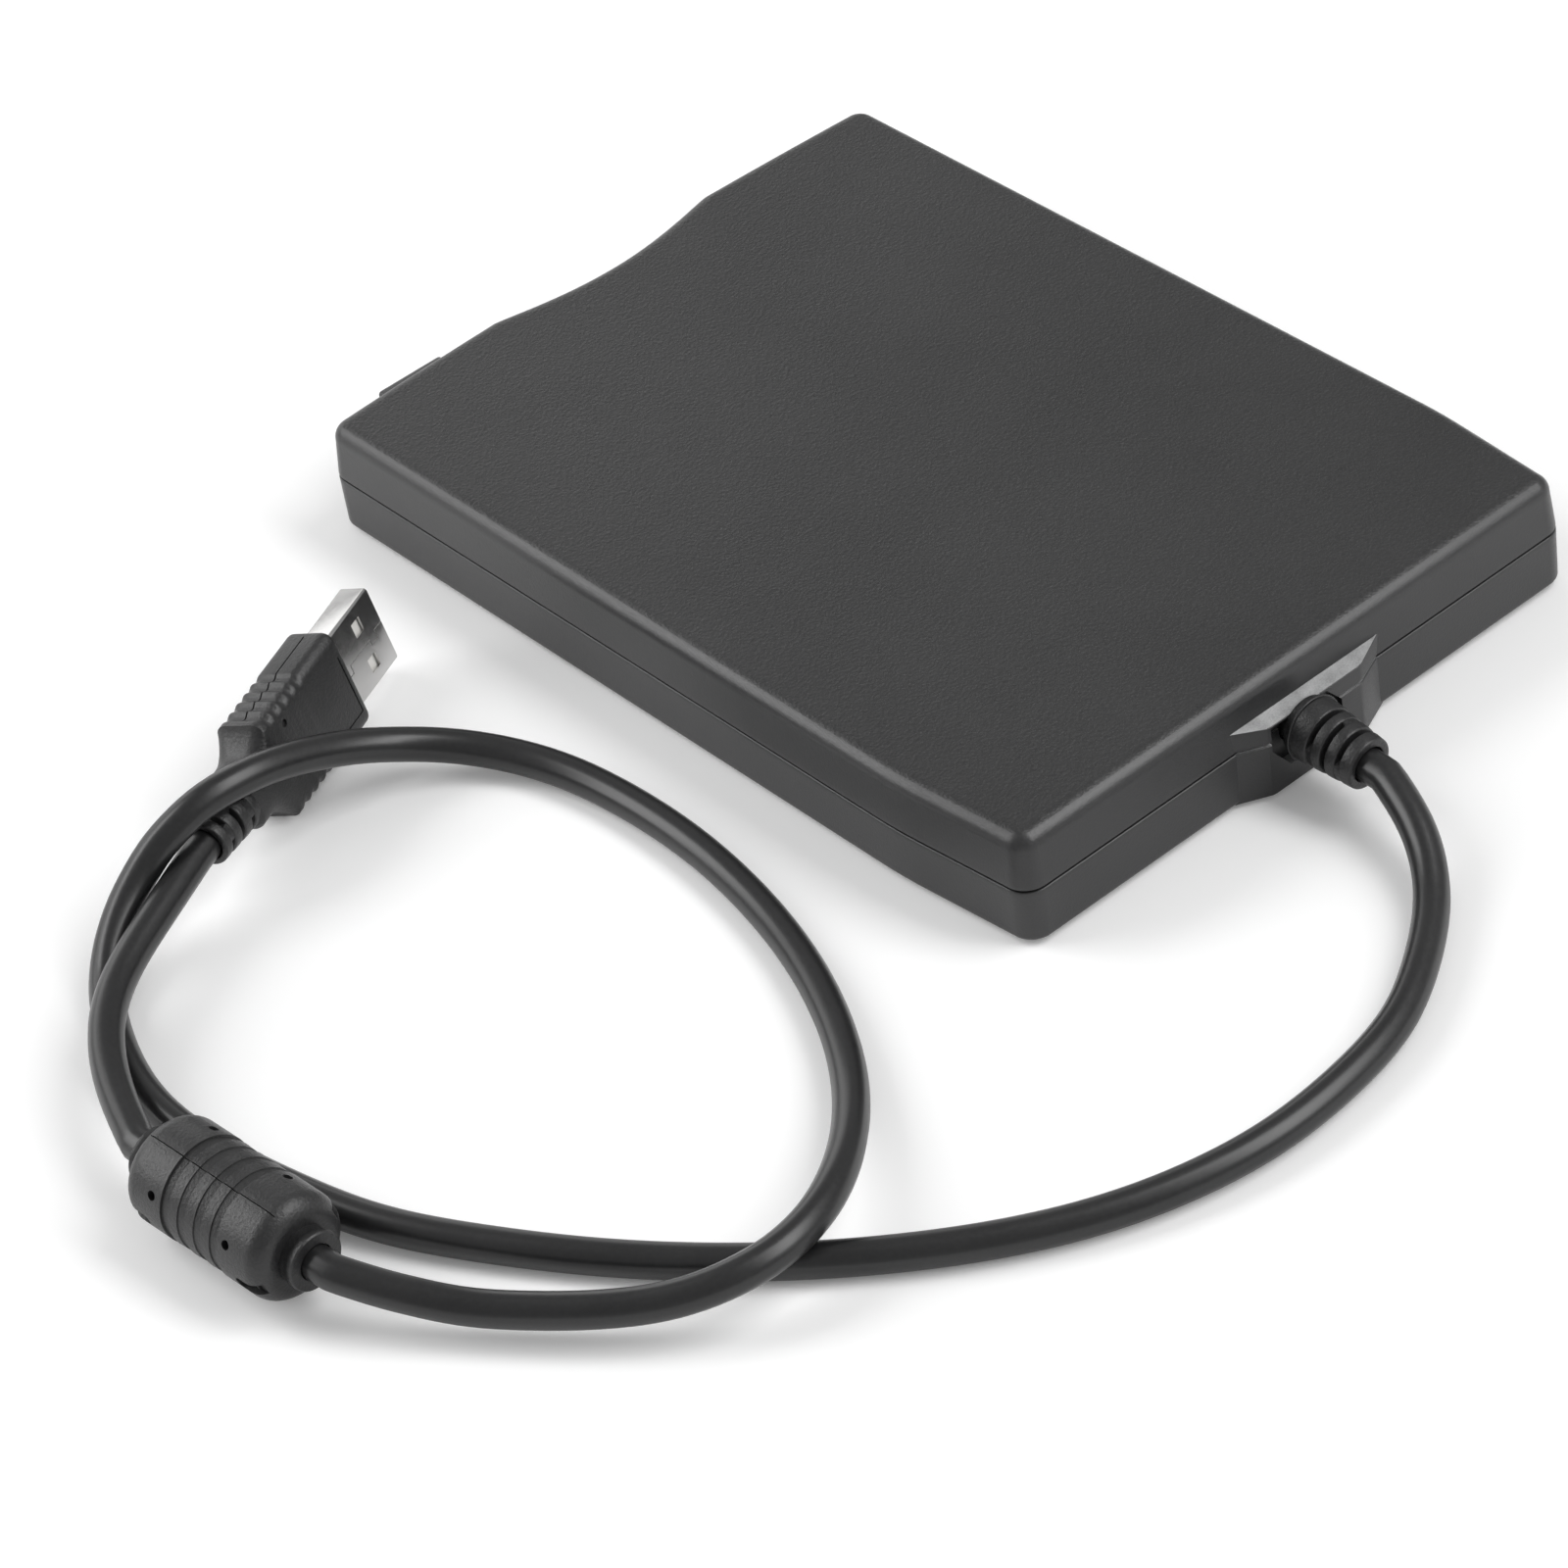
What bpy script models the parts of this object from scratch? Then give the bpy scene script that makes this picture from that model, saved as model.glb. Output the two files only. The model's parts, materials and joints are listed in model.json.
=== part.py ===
"""External 3.5 inch floppy disk drive with a captive USB cord.

Metres, +Z up. The drive stands on its four feet at z = 0 with its disk slot
towards -Y. The origin lies under the middle of the case.
"""

import math

import bmesh
import bpy
from mathutils import Matrix, Vector

# Clearances and cutting allowances
SEAT_GAP = 0.0003
RUNNING_GAP = 0.0003
OVERRUN = 0.0020
FUSE_DEPTH = 0.0004
SMALL_OVERRUN = 0.0005
SLOT_OVERRUN = 0.0001
SPIN_MERGE = 0.000001

# Case
CASE_WIDTH = 0.1030
CASE_DEPTH = 0.1450
CASE_HEIGHT = 0.01685
CASE_WALL = 0.0016
SEAM_RISE = 0.0085
FRONT_BOW = 0.00156
CORNER_RADIUS = 0.0035
TOP_FILLET = 0.0024
BOTTOM_FILLET = 0.0008
TOP_DRAFT = 0.00057
BOTTOM_DRAFT = 0.00006
REAR_TAPER = 0.00193
TAPER_LENGTH = 0.0229
SCOOP_CENTRE = -0.0005
SCOOP_HALF_WIDTH = 0.0200
SCOOP_DEPTH = 0.0033
SCOOP_SHAPE_SHARE = 1.2

# Rear boss round the cord's exit
BOSS_PROUD = 0.0021
BOSS_LEDGE_DROP = 0.0050
BOSS_ROOT_RIGHT = 0.0131
BOSS_ROOT_LEFT = 0.0142
BOSS_FACE_RIGHT = 0.0082
BOSS_FACE_LEFT = 0.0085
RECESS_CENTRE = 0.0016
RECESS_WIDTH = 0.0128
RECESS_DEPTH = 0.0017
RECESS_LIP = 0.0003
RECESS_HEIGHT = 0.0077

# Feet and case screws
FOOT_RADIUS = 0.0040
FOOT_PROUD = 0.0007
FOOT_SUNK = 0.0006
FOOT_SIDE_INSET = 0.0135
FOOT_FRONT_INSET = 0.0152
FOOT_REAR_INSET = 0.0158
SCREW_SHANK_RADIUS = 0.00075
SCREW_HEAD_RADIUS = 0.0014
SCREW_HEAD_DEPTH = 0.0007
SCREW_LENGTH = 0.0117
SCREW_SINK = 0.0011
PILLAR_RADIUS = 0.0019
PILLAR_FRONT_SIDE_INSET = 0.0031
PILLAR_FRONT_INSET = 0.0083
PILLAR_REAR_SIDE_INSET = 0.0075
PILLAR_REAR_INSET = 0.0058

# Button and lamp in the front wall
BUTTON_WIDTH = 0.0115
BUTTON_HEIGHT = 0.00235
BUTTON_LENGTH = 0.0077
BUTTON_SIDE_INSET = 0.01775
BUTTON_PROUD = 0.0007
BUTTON_TOP_DROP = 0.00245
BUTTON_ROUND = 0.0005
BUTTON_FACE_SHARE = 0.9
BUTTON_TRAVEL = 0.0060
TAB_WIDTH = 0.0055
TAB_GRIP = 0.0034
LENS_SIDE_INSET = 0.0180
LENS_WIDTH = 0.0050
LENS_HEIGHT = 0.0014
LENS_LENGTH = 0.0026
LAMP_LENGTH = 0.0028

# Disk, as the mechanism has to hold it
DISK_LENGTH_SHARE = 0.79
DISK_THICKNESS = 0.0033
DISK_PLAY = 0.0009
DISK_SIDE_PLAY = 0.0003
DISK_OVERHANG = 0.0030
HUB_FROM_REAR_SHARE = 0.374
HOLDER_DROP = 0.0022
SLOT_SIDE_PLAY = 0.0008
DOOR_THICKNESS = 0.0008
DOOR_BEHIND_SCOOP = 0.0008
DOOR_OVERLAP = 0.0002
DOOR_PIN_RADIUS = 0.00035
DOOR_PIN_REACH = 0.0013
DOOR_RIB_THICKNESS = 0.0024

# Drive frame
FRAME_SIDE_ROOM = 0.0019
FRAME_SHEET = 0.0008
PLATE_SHEET = 0.0006
FRAME_FRONT_SETBACK = 0.0112
FRAME_REAR_SETBACK = 0.0148
ROTOR_WINDOW_RADIUS = 0.0210
COVER_WINDOW_RADIUS = 0.0150
HOLDER_SHEET = 0.0008
HOLDER_LIP = 0.0023
GUIDE_PIN_RADIUS = 0.0008
GUIDE_PIN_FROM_FRONT_SHARE = 0.143
GUIDE_PIN_SPACING_SHARE = 0.504
SLIDE_SHEET = 0.0005
SLIDE_CROSS_SHARE = 0.37
SLIDE_LENGTH_SHARE = 0.672
SLIDE_SETBACK = 0.0060
SLIDE_LIFT = 0.0007
SLIDE_RAIL_WIDTH = 0.0069
SLIDE_SKIRT = 0.0083
SPRING_RADIUS = 0.00075
SPRING_WIRE_RADIUS = 0.0002
SPRING_LENGTH_SHARE = 0.109
SPRING_TURNS = 8
SPRING_SIDE_SHARE = 0.417
SPRING_TAB_WIDTH = 0.0024
SPRING_BAR_HEIGHT = 0.0007

# Shutter lever
LEVER_RADIUS = 0.0220
LEVER_PIVOT_SIDE_SHARE = 0.716
LEVER_PIVOT_BEHIND_HUB_SHARE = 0.3
LEVER_REST_ANGLE = -35.0
LEVER_SWING = 62.0
LEVER_WIDTH = 0.0036
LEVER_HUB_RADIUS = 0.0030
LEVER_PIN_RADIUS = 0.0010
LEVER_PIN_LENGTH = 0.0043
LEVER_SLOT_SPARE = 4.0
LEVER_SLOT_STEPS = 12
RIVET_RADIUS = 0.0010
RIVET_HEAD_RADIUS = 0.0020
RIVET_HEAD_DEPTH = 0.0004

# Spindle motor
SHAFT_RADIUS = 0.0020
SHAFT_ABOVE_TABLE = 0.0015
TABLE_RADIUS = 0.0125
TABLE_DEPTH = 0.0006
TABLE_ABOVE_JACKET = 0.0005
ROTOR_RADIUS = 0.0190
ROTOR_SHEET = 0.0005
ROTOR_RIM = 0.0008
ROTOR_DEPTH = 0.0016
MAGNET_DEPTH = 0.0008
MAGNET_THICKNESS = 0.0017
STATOR_INNER_RADIUS = 0.0065
STATOR_RING_RADIUS = 0.0090
STATOR_TIP_RADIUS = 0.0152
STATOR_DEPTH = 0.0009
STATOR_POLES = 12
STATOR_POLE_SHARE = 0.55
BEARING_RADIUS = 0.0030
DRIVE_PIN_RADIUS = 0.0008
DRIVE_PIN_HEIGHT = 0.0010
DRIVE_PIN_REACH = 0.0100
MOTOR_BOARD_WIDTH_SHARE = 0.5625
MOTOR_BOARD_DEPTH_SHARE = 0.42
BOARD_THICKNESS = 0.0008
MOTOR_BOARD_THICKNESS = 0.0006

# Heads and their drive
HEAD_RADIUS_SHARE = 0.3336
HEAD_TRAVEL_SHARE = 0.1244
HEAD_SIZE = 0.0060
LOWER_HEAD_HEIGHT = 0.0015
UPPER_HEAD_HEIGHT = 0.0014
HEAD_SLIT = 0.0005
ARM_WIDTH = 0.0100
ARM_SHEET = 0.0007
LOWER_ARM_SHEET = 0.0008
ARM_TIP_BEYOND_HEAD = 0.0015
HEAD_LIFT = 0.0042
ARM_HINGE_RISE = 0.0011
ARM_WINDOW_MARGIN = 0.0015
ARM_BARREL_RADIUS = 0.0013
ARM_PIN_RADIUS = 0.0005
EAR_THICKNESS = 0.0020
CARRIAGE_WIDTH = 0.0240
CARRIAGE_DEPTH = 0.0100
CARRIAGE_HEIGHT = 0.0060
CARRIAGE_REAR_SHARE = 0.15
CARRIAGE_ROOM = 0.0004
POCKET_RISE = 0.0033
ROD_RADIUS = 0.00125
ROD_X = -0.0090
ROD_RISE = 0.0024
LEAD_RADIUS = 0.0014
LEAD_X = 0.0095
LEAD_RISE = 0.0048
LEAD_PITCH = 0.0045
LEAD_THREAD_DEPTH = 0.0003
LEAD_THREAD_SHARES = (0.25, 0.5, 0.75, 1.0)
LEAD_REACH = 0.0013
STEPPER_RADIUS = 0.0060
STEPPER_LENGTH = 0.0090
TAB_THICKNESS = 0.0012
BRACKET_SHEET = 0.0008
BRACKET_SIDE_ROOM = 0.0015
BRACKET_FOOT = 0.0045
BRACKET_FOOT_LENGTH = 0.0060
BRACKET_HEIGHT = 0.0098

# Boards and switches
CONTROLLER_DEPTH_SHARE = 0.2
BOARD_GAP = 0.0002
CONTROLLER_SIDE = 0.0020
CHIP_SIZE = 0.0120
CHIP_HEIGHT = 0.0015
INTERFACE_SIDE_INSET = 0.0115
INTERFACE_MIDDLE_GAP = 0.0020
INTERFACE_DEPTH = 0.0110
INTERFACE_THICKNESS = 0.0010
INTERFACE_RISE = 0.0013
POST_RADIUS = 0.0015
POST_INSET = 0.0028
BRIDGE_CHIP_SIZE = 0.0070
BRIDGE_CHIP_HEIGHT = 0.0012
CRYSTAL_LENGTH = 0.0100
CRYSTAL_WIDTH = 0.0045
CRYSTAL_HEIGHT = 0.0030
CRYSTAL_ROUND_SHARE = 0.95
CONNECTOR_WIDTH = 0.0160
CONNECTOR_DEPTH = 0.0026
CONNECTOR_HEIGHT = 0.0022
RIBBON_WIDTH = 0.0130
RIBBON_THICKNESS = 0.0003
RIBBON_ARCH = 0.0030
RIBBON_STEPS = 10
SWITCH_WIDTH = 0.0068
SWITCH_DEPTH = 0.0100
SWITCH_HEIGHT = 0.0026
SWITCH_SIDE_INSET = 0.0090
SWITCH_FROM_FRONT = 0.0070
PLUNGER_RADIUS = 0.0008
PLUNGER_LENGTH = 0.0018
PLUNGER_PROUD_SHARE = 0.8
PLUNGER_TRAVEL = 0.0010
PLUNGER_OFFSET = 0.0020

# Strain relief at the case
RELIEF_X = 0.0019
RELIEF_Z = 0.00875
RELIEF_SLOPE = 4.4
RELIEF_NECK_RADIUS = 0.0030
RELIEF_ANCHOR_RADIUS = 0.0042
RELIEF_ANCHOR_DEPTH = 0.0013
RELIEF_FLANGE_RADIUS = 0.0048
RELIEF_FLANGE_DEPTH = 0.0009
RELIEF_COLLAR_RADIUS = 0.0046
RELIEF_END_RADIUS = 0.0037
RELIEF_LENGTH = 0.0106
RELIEF_RINGS = 4
RELIEF_RING_SHARE = 0.55
RELIEF_CORE_SHARE = 0.62
RELIEF_WEB_SHARE = 0.7
RELIEF_SPAN_SHARE = 0.8

# Cord and its ferrite bead
CORD_RADIUS = 0.0024
CORD_STEP = 0.0095
SPLINE_SAMPLES = 12
BEAD_RADIUS = 0.0074
BEAD_BODY_LENGTH = 0.0260
BEAD_COLLAR_LENGTH = 0.0025
BEAD_COLLAR_RADIUS = 0.0041
BEAD_BORE_RADIUS = 0.0012
BEAD_ROUND = 0.0022
BEAD_BAND_DEPTH = 0.0004
BEAD_BAND_WIDTH = 0.0010
BEAD_BAND_PITCH = 0.0030
BEAD_BANDS = 4
BEAD_ROUND_STEPS = 3
CORE_RADIUS = 0.0050
CORE_LENGTH = 0.0170
CORE_BORE_RADIUS = 0.0016

# Plug
PLUG_X = 0.0793
PLUG_Y = -0.0357
PLUG_HEADING = 204.8
PLUG_LEAN = 14.0
PLUG_WIDTH = 0.0154
PLUG_THICKNESS = 0.0078
PLUG_LENGTH = 0.0208
PLUG_CORNER = 0.0018
PLUG_NECK_LENGTH = 0.0040
PLUG_TAIL_LENGTH = 0.0116
PLUG_TAIL_RADIUS = 0.0040
PLUG_TAIL_END_RADIUS = 0.0034
PLUG_TAIL_RINGS = 4
NECK_ROUND_SHARE = 0.9
GRIP_RIBS = 5
GRIP_RIB_PITCH = 0.0018
GRIP_RIB_WIDTH = 0.0009
GRIP_RIB_DEPTH = 0.0004
SHELL_WIDTH = 0.0120
SHELL_HEIGHT = 0.0045
SHELL_SHEET = 0.0003
SHELL_LENGTH = 0.01175
SHELL_ROOT = 0.0030
SHELL_WINDOW = 0.0022
SHELL_WINDOW_SIDE = 0.0030
SHELL_WINDOW_FROM_TIP = 0.0050
INSERT_THICKNESS = 0.0018
INSERT_SETBACK = 0.0010

# Cord's route from the strain relief to the bead
CORD_ROUTE = [
    (0.0025, 0.0905, 0.0073),
    (0.0043, 0.0963, 0.0058),
    (0.0079, 0.1019, 0.0040),
    (0.0131, 0.1071, 0.0028),
    (0.0265, 0.1160, 0.0024),
    (0.0360, 0.1192, 0.0024),
    (0.0542, 0.1208, 0.0024),
    (0.0705, 0.1177, 0.0024),
    (0.0843, 0.1116, 0.0024),
    (0.0980, 0.1019, 0.0024),
    (0.1110, 0.0897, 0.0024),
    (0.1233, 0.0747, 0.0024),
    (0.1334, 0.0586, 0.0024),
    (0.1388, 0.0478, 0.0024),
    (0.1417, 0.0365, 0.0024),
    (0.1438, 0.0258, 0.0024),
    (0.1449, 0.0143, 0.0024),
    (0.1430, 0.0025, 0.0024),
    (0.1384, -0.0082, 0.0026),
    (0.1338, -0.0155, 0.0037),
    (0.1244, -0.0209, 0.0085),
    (0.1176, -0.0211, 0.0125),
    (0.1108, -0.0201, 0.0148),
    (0.1033, -0.0202, 0.0145),
    (0.0966, -0.0207, 0.0126),
    (0.0884, -0.0207, 0.0094),
    (0.0797, -0.0182, 0.0060),
    (0.0708, -0.0098, 0.0033),
    (0.0663, 0.0047, 0.0024),
    (0.0662, 0.0278, 0.0024),
    (0.0716, 0.0523, 0.0024),
    (0.0829, 0.0743, 0.0034),
    (0.0999, 0.0907, 0.0069),
    (0.1158, 0.0944, 0.0075),
    (0.1281, 0.0866, 0.0056),
    (0.1394, 0.0731, 0.0048),
    (0.1462, 0.0641, 0.0062),
]

# Where the bead's two cord faces lie, and the route from the bead to the plug
BEAD_START = (0.1503, 0.0528, 0.0075)
BEAD_END = (0.1523, 0.0218, 0.0075)
PLUG_ROUTE = [
    (0.1514, 0.0165, 0.0075),
    (0.1499, 0.0115, 0.0076),
    (0.1471, 0.0051, 0.0078),
    (0.1424, -0.0021, 0.0080),
    (0.1366, -0.0076, 0.0080),
    (0.1293, -0.0118, 0.0080),
    (0.1215, -0.0158, 0.0080),
]


# Levels and planes that the pieces share
HALF_WIDTH = CASE_WIDTH / 2
FRONT_CROWN = -(CASE_DEPTH + BOSS_PROUD + BUTTON_PROUD) / 2 + BUTTON_PROUD
REAR_WALL = FRONT_CROWN + CASE_DEPTH
BOSS_FACE = REAR_WALL + BOSS_PROUD
CASE_BOTTOM = FOOT_PROUD
CASE_TOP = CASE_BOTTOM + CASE_HEIGHT
SEAM = CASE_BOTTOM + SEAM_RISE
LOWER_RIM = SEAM - SEAT_GAP / 2
UPPER_RIM = SEAM + SEAT_GAP / 2
FLOOR = CASE_BOTTOM + CASE_WALL
CEILING = CASE_TOP - CASE_WALL
BOSS_LEDGE = CASE_TOP - BOSS_LEDGE_DROP

FRAME_FRONT = FRONT_CROWN + FRAME_FRONT_SETBACK
FRAME_REAR = REAR_WALL - FRAME_REAR_SETBACK
FRAME_LENGTH = FRAME_REAR - FRAME_FRONT
FRAME_FOOT = FLOOR + SEAT_GAP
MOTOR_BOARD_TOP = FRAME_FOOT + MOTOR_BOARD_THICKNESS
FRAME_DECK = MOTOR_BOARD_TOP + SEAT_GAP
FRAME_DECK_TOP = FRAME_DECK + PLATE_SHEET
COVER_TOP = CEILING - SEAT_GAP
COVER_BOTTOM = COVER_TOP - PLATE_SHEET
FRAME_WALL_TOP = COVER_BOTTOM - SEAT_GAP
FRAME_HALF = HALF_WIDTH - CASE_WALL - FRAME_SIDE_ROOM

# Rotor, hub and the lowered disk, from the deck up
ROTOR_BOTTOM = FRAME_DECK + SEAT_GAP / 3
ROTOR_TOP = ROTOR_BOTTOM + ROTOR_DEPTH
TABLE_BOTTOM = ROTOR_TOP + SEAT_GAP
TABLE_TOP = TABLE_BOTTOM + TABLE_DEPTH
DISK_LOW = TABLE_TOP - TABLE_ABOVE_JACKET
BAY_BOTTOM = DISK_LOW + HOLDER_DROP
BAY_TOP = BAY_BOTTOM + DISK_THICKNESS + DISK_PLAY
HOLDER_TOP = BAY_TOP + PLATE_SHEET
HOLDER_BOTTOM = BAY_BOTTOM - PLATE_SHEET
SLIDE_BOTTOM = HOLDER_TOP + SLIDE_LIFT
SLIDE_TOP = SLIDE_BOTTOM + PLATE_SHEET
HOLDER_HALF = FRAME_HALF - FRAME_SHEET - SLIDE_SHEET - 2 * RUNNING_GAP
BAY_HALF = HOLDER_HALF - HOLDER_SHEET
SLOT_HALF = BAY_HALF - DISK_SIDE_PLAY + SLOT_SIDE_PLAY

# Door, standing behind the deepest part of the scoop
SLOT_BOTTOM = BAY_BOTTOM - SLOT_OVERRUN
SLOT_TOP = BAY_TOP
DOOR_FRONT = FRONT_CROWN + SCOOP_DEPTH + CASE_WALL + DOOR_BEHIND_SCOOP
DOOR_REAR = DOOR_FRONT + DOOR_THICKNESS
DOOR_AXIS = (0.0, (DOOR_FRONT + DOOR_REAR) / 2, SLOT_TOP + DOOR_PIN_RADIUS / 4)
DOOR_HALF = SLOT_HALF + DOOR_OVERLAP

DISK_FRONT = FRAME_FRONT - DISK_OVERHANG
DISK_REAR = DISK_FRONT + FRAME_LENGTH * DISK_LENGTH_SHARE
SPINDLE_Y = DISK_REAR - FRAME_LENGTH * HUB_FROM_REAR_SHARE
HOLDER_REAR = DISK_REAR - RUNNING_GAP


# Materials

FINISHES = {
    "black_abs": ((0.035, 0.035, 0.037, 1.0), 0.55, 0.0),
    "rubber": ((0.020, 0.020, 0.021, 1.0), 0.80, 0.0),
    "black_pvc": ((0.018, 0.018, 0.019, 1.0), 0.38, 0.0),
    "zinc_sheet": ((0.560, 0.565, 0.570, 1.0), 0.42, 1.0),
    "bright_steel": ((0.620, 0.610, 0.600, 1.0), 0.25, 1.0),
    "nickel": ((0.420, 0.415, 0.410, 1.0), 0.30, 1.0),
    "brass": ((0.700, 0.500, 0.200, 1.0), 0.35, 1.0),
    "ivory_plastic": ((0.720, 0.690, 0.600, 1.0), 0.50, 0.0),
    "grey_plastic": ((0.250, 0.255, 0.260, 1.0), 0.50, 0.0),
    "smoke_lens": ((0.250, 0.320, 0.180, 1.0), 0.20, 0.0),
    "green_board": ((0.020, 0.150, 0.060, 1.0), 0.45, 0.0),
    "chip_black": ((0.025, 0.025, 0.027, 1.0), 0.45, 0.0),
    "ferrite_grey": ((0.110, 0.105, 0.110, 1.0), 0.60, 0.0),
    "ribbon_white": ((0.700, 0.700, 0.680, 1.0), 0.50, 0.0),
}


def finish(name, kind):
    """One Principled material for one piece."""
    colour, roughness, metallic = FINISHES[kind]
    surface = bpy.data.materials.new(name + "_" + kind)
    surface.use_nodes = True
    shader = surface.node_tree.nodes["Principled BSDF"]
    shader.inputs["Base Color"].default_value = colour
    shader.inputs["Roughness"].default_value = roughness
    shader.inputs["Metallic"].default_value = metallic
    surface.diffuse_color = colour
    return surface


# Meshes

SMOOTH_ANGLE = math.radians(35)
ROUND_STEPS = 20
FINE_STEPS = 36
SMALL_STEPS = 12


def as_mesh(name, shape):
    """A mesh block made from a bmesh, which is freed."""
    bmesh.ops.recalc_face_normals(shape, faces=shape.faces)
    mesh = bpy.data.meshes.new(name)
    shape.to_mesh(mesh)
    shape.free()
    return mesh


def piece(name, shape, kind, origin=(0.0, 0.0, 0.0)):
    """A named object whose origin is at the given point of the drive."""
    mesh = as_mesh(name, shape)
    mesh.transform(Matrix.Translation(-Vector(origin)))
    mesh.materials.append(finish(name, kind))
    mesh.shade_smooth()
    mesh.set_sharp_from_angle(angle=SMOOTH_ANGLE)
    thing = bpy.data.objects.new(name, mesh)
    thing.location = origin
    bpy.context.collection.objects.link(thing)
    return thing


def boolean(thing, shape, operation, label):
    """Cut or fuse a helper shape, given in the drive's own frame."""
    helper_name = thing.name + "_" + label
    helper = bpy.data.objects.new(helper_name, as_mesh(helper_name, shape))
    helper.hide_render = True
    helper.display_type = "WIRE"
    bpy.context.collection.objects.link(helper)
    step = thing.modifiers.new(label, "BOOLEAN")
    step.operation = operation
    step.solver = "EXACT"
    step.object = helper
    return thing


def cut(thing, *shapes, label="cut"):
    return boolean(thing, join(*shapes), "DIFFERENCE", label)


def fuse(thing, *shapes, label="fuse"):
    return boolean(thing, join(*shapes), "UNION", label)


def join(*shapes):
    """Several separate shapes as one bmesh."""
    whole = bmesh.new()
    for shape in shapes:
        scrap = bpy.data.meshes.new("scrap")
        bmesh.ops.recalc_face_normals(shape, faces=shape.faces)
        shape.to_mesh(scrap)
        shape.free()
        whole.from_mesh(scrap)
        bpy.data.meshes.remove(scrap)
    return whole


def move(shape, matrix):
    shape.transform(matrix)
    return shape


def lofted(rings):
    """A closed body through rings of equal point counts, capped at both ends."""
    shape = bmesh.new()
    levels = [[shape.verts.new(point) for point in ring] for ring in rings]
    count = len(levels[0])
    for lower, upper in zip(levels, levels[1:]):
        for i in range(count):
            j = (i + 1) % count
            shape.faces.new((lower[i], lower[j], upper[j], upper[i]))
    shape.faces.new(levels[0])
    shape.faces.new(levels[-1])
    return shape


def prism(outline, low, high, axis="Z"):
    """An outline raised between two planes square to the axis."""
    place = {
        "X": lambda a, b, h: (h, a, b),
        "Y": lambda a, b, h: (a, h, b),
        "Z": lambda a, b, h: (a, b, h),
    }[axis]
    return lofted([[place(a, b, h) for a, b in outline] for h in (low, high)])


def block(low, high):
    (x0, y0, z0), (x1, y1, z1) = low, high
    return prism([(x0, y0), (x1, y0), (x1, y1), (x0, y1)], z0, z1)


def block_at(centre, size):
    low = [c - s / 2 for c, s in zip(centre, size)]
    high = [c + s / 2 for c, s in zip(centre, size)]
    return block(low, high)


def arc(centre, radius, start, end, steps):
    """Points on an arc, angles in degrees."""
    points = []
    for i in range(steps + 1):
        angle = math.radians(start + (end - start) * i / steps)
        points.append((centre[0] + radius * math.cos(angle), centre[1] + radius * math.sin(angle)))
    return points


def circle(centre, radius, steps=ROUND_STEPS):
    return arc(centre, radius, 0.0, 360.0 * (steps - 1) / steps, steps - 1)


def rounded_rectangle(centre, size, radius, steps=4):
    x = size[0] / 2 - radius
    y = size[1] / 2 - radius
    corners = [((x, y), 0.0), ((-x, y), 90.0), ((-x, -y), 180.0), ((x, -y), 270.0)]
    points = []
    for (dx, dy), start in corners:
        points += arc((centre[0] + dx, centre[1] + dy), radius, start, start + 90.0, steps)
    return points


def rod(centre, radius, low, high, axis="Z", steps=ROUND_STEPS):
    return prism(circle(centre, radius, steps), low, high, axis)


def turned(profile, steps=ROUND_STEPS):
    """A body spun round Z from (radius, height) points; a ring if none is at radius 0."""
    shape = bmesh.new()
    points = [shape.verts.new((radius, 0.0, height)) for radius, height in profile]
    edges = [shape.edges.new(pair) for pair in zip(points, points[1:])]
    if min(radius for radius, height in profile) > 0.0:
        edges.append(shape.edges.new((points[-1], points[0])))
    bmesh.ops.spin(
        shape,
        geom=points + edges,
        cent=(0.0, 0.0, 0.0),
        axis=(0.0, 0.0, 1.0),
        angle=math.radians(360.0),
        steps=steps,
        use_merge=True,
    )
    bmesh.ops.remove_doubles(shape, verts=shape.verts, dist=SPIN_MERGE)
    return shape


def empty(name, location, rotation=(0.0, 0.0, 0.0)):
    """A joint's axis, which the pieces of its body hang from."""
    axis = bpy.data.objects.new(name, None)
    axis.location = location
    axis.rotation_euler = rotation
    bpy.context.collection.objects.link(axis)
    return axis


def hang(axis, *things):
    """Parent pieces to an axis, keeping their place relative to it."""
    for thing in things:
        thing.location = Vector(thing.location) - Vector(axis.location)
        thing.parent = axis


def along(place, direction):
    """A matrix that lays the Z axis along a direction from a place."""
    turn = Vector(direction).to_track_quat("Z", "Y").to_matrix().to_4x4()
    return Matrix.Translation(place) @ turn


def inset(outline, depth):
    """A counter-clockwise outline moved inwards by a depth."""
    count = len(outline)
    moved = []
    for i in range(count):
        before = Vector(outline[i - 1])
        here = Vector(outline[i])
        after = Vector(outline[(i + 1) % count])
        first = (here - before).normalized()
        second = (after - here).normalized()
        side = Vector((-first.y - second.y, first.x + second.x))
        share = 1.0 + first.dot(second)
        moved.append(tuple(here + side * (depth / share)))
    return moved


# Case

WING_STEPS = 4
SCOOP_POINTS = 18
CORNER_STEPS = 5
FILLET_STEPS = 3


def front_line(x):
    """Y of the bowed front with its thumb scoop."""
    bow = FRONT_BOW * (x / HALF_WIDTH) ** 2
    reach = min(1.0, abs(x - SCOOP_CENTRE) / SCOOP_HALF_WIDTH)
    return FRONT_CROWN + bow + SCOOP_DEPTH * (1.0 - reach ** 2) ** SCOOP_SHAPE_SHARE


def even_steps(start, end, steps):
    """Evenly spaced values from start up to, but without, end."""
    return [start + (end - start) * i / steps for i in range(steps)]


def half_width(y):
    """Half the case's width, which narrows towards the rear."""
    share = max(0.0, (y - REAR_WALL + TAPER_LENGTH) / TAPER_LENGTH)
    return HALF_WIDTH - REAR_TAPER * share


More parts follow.
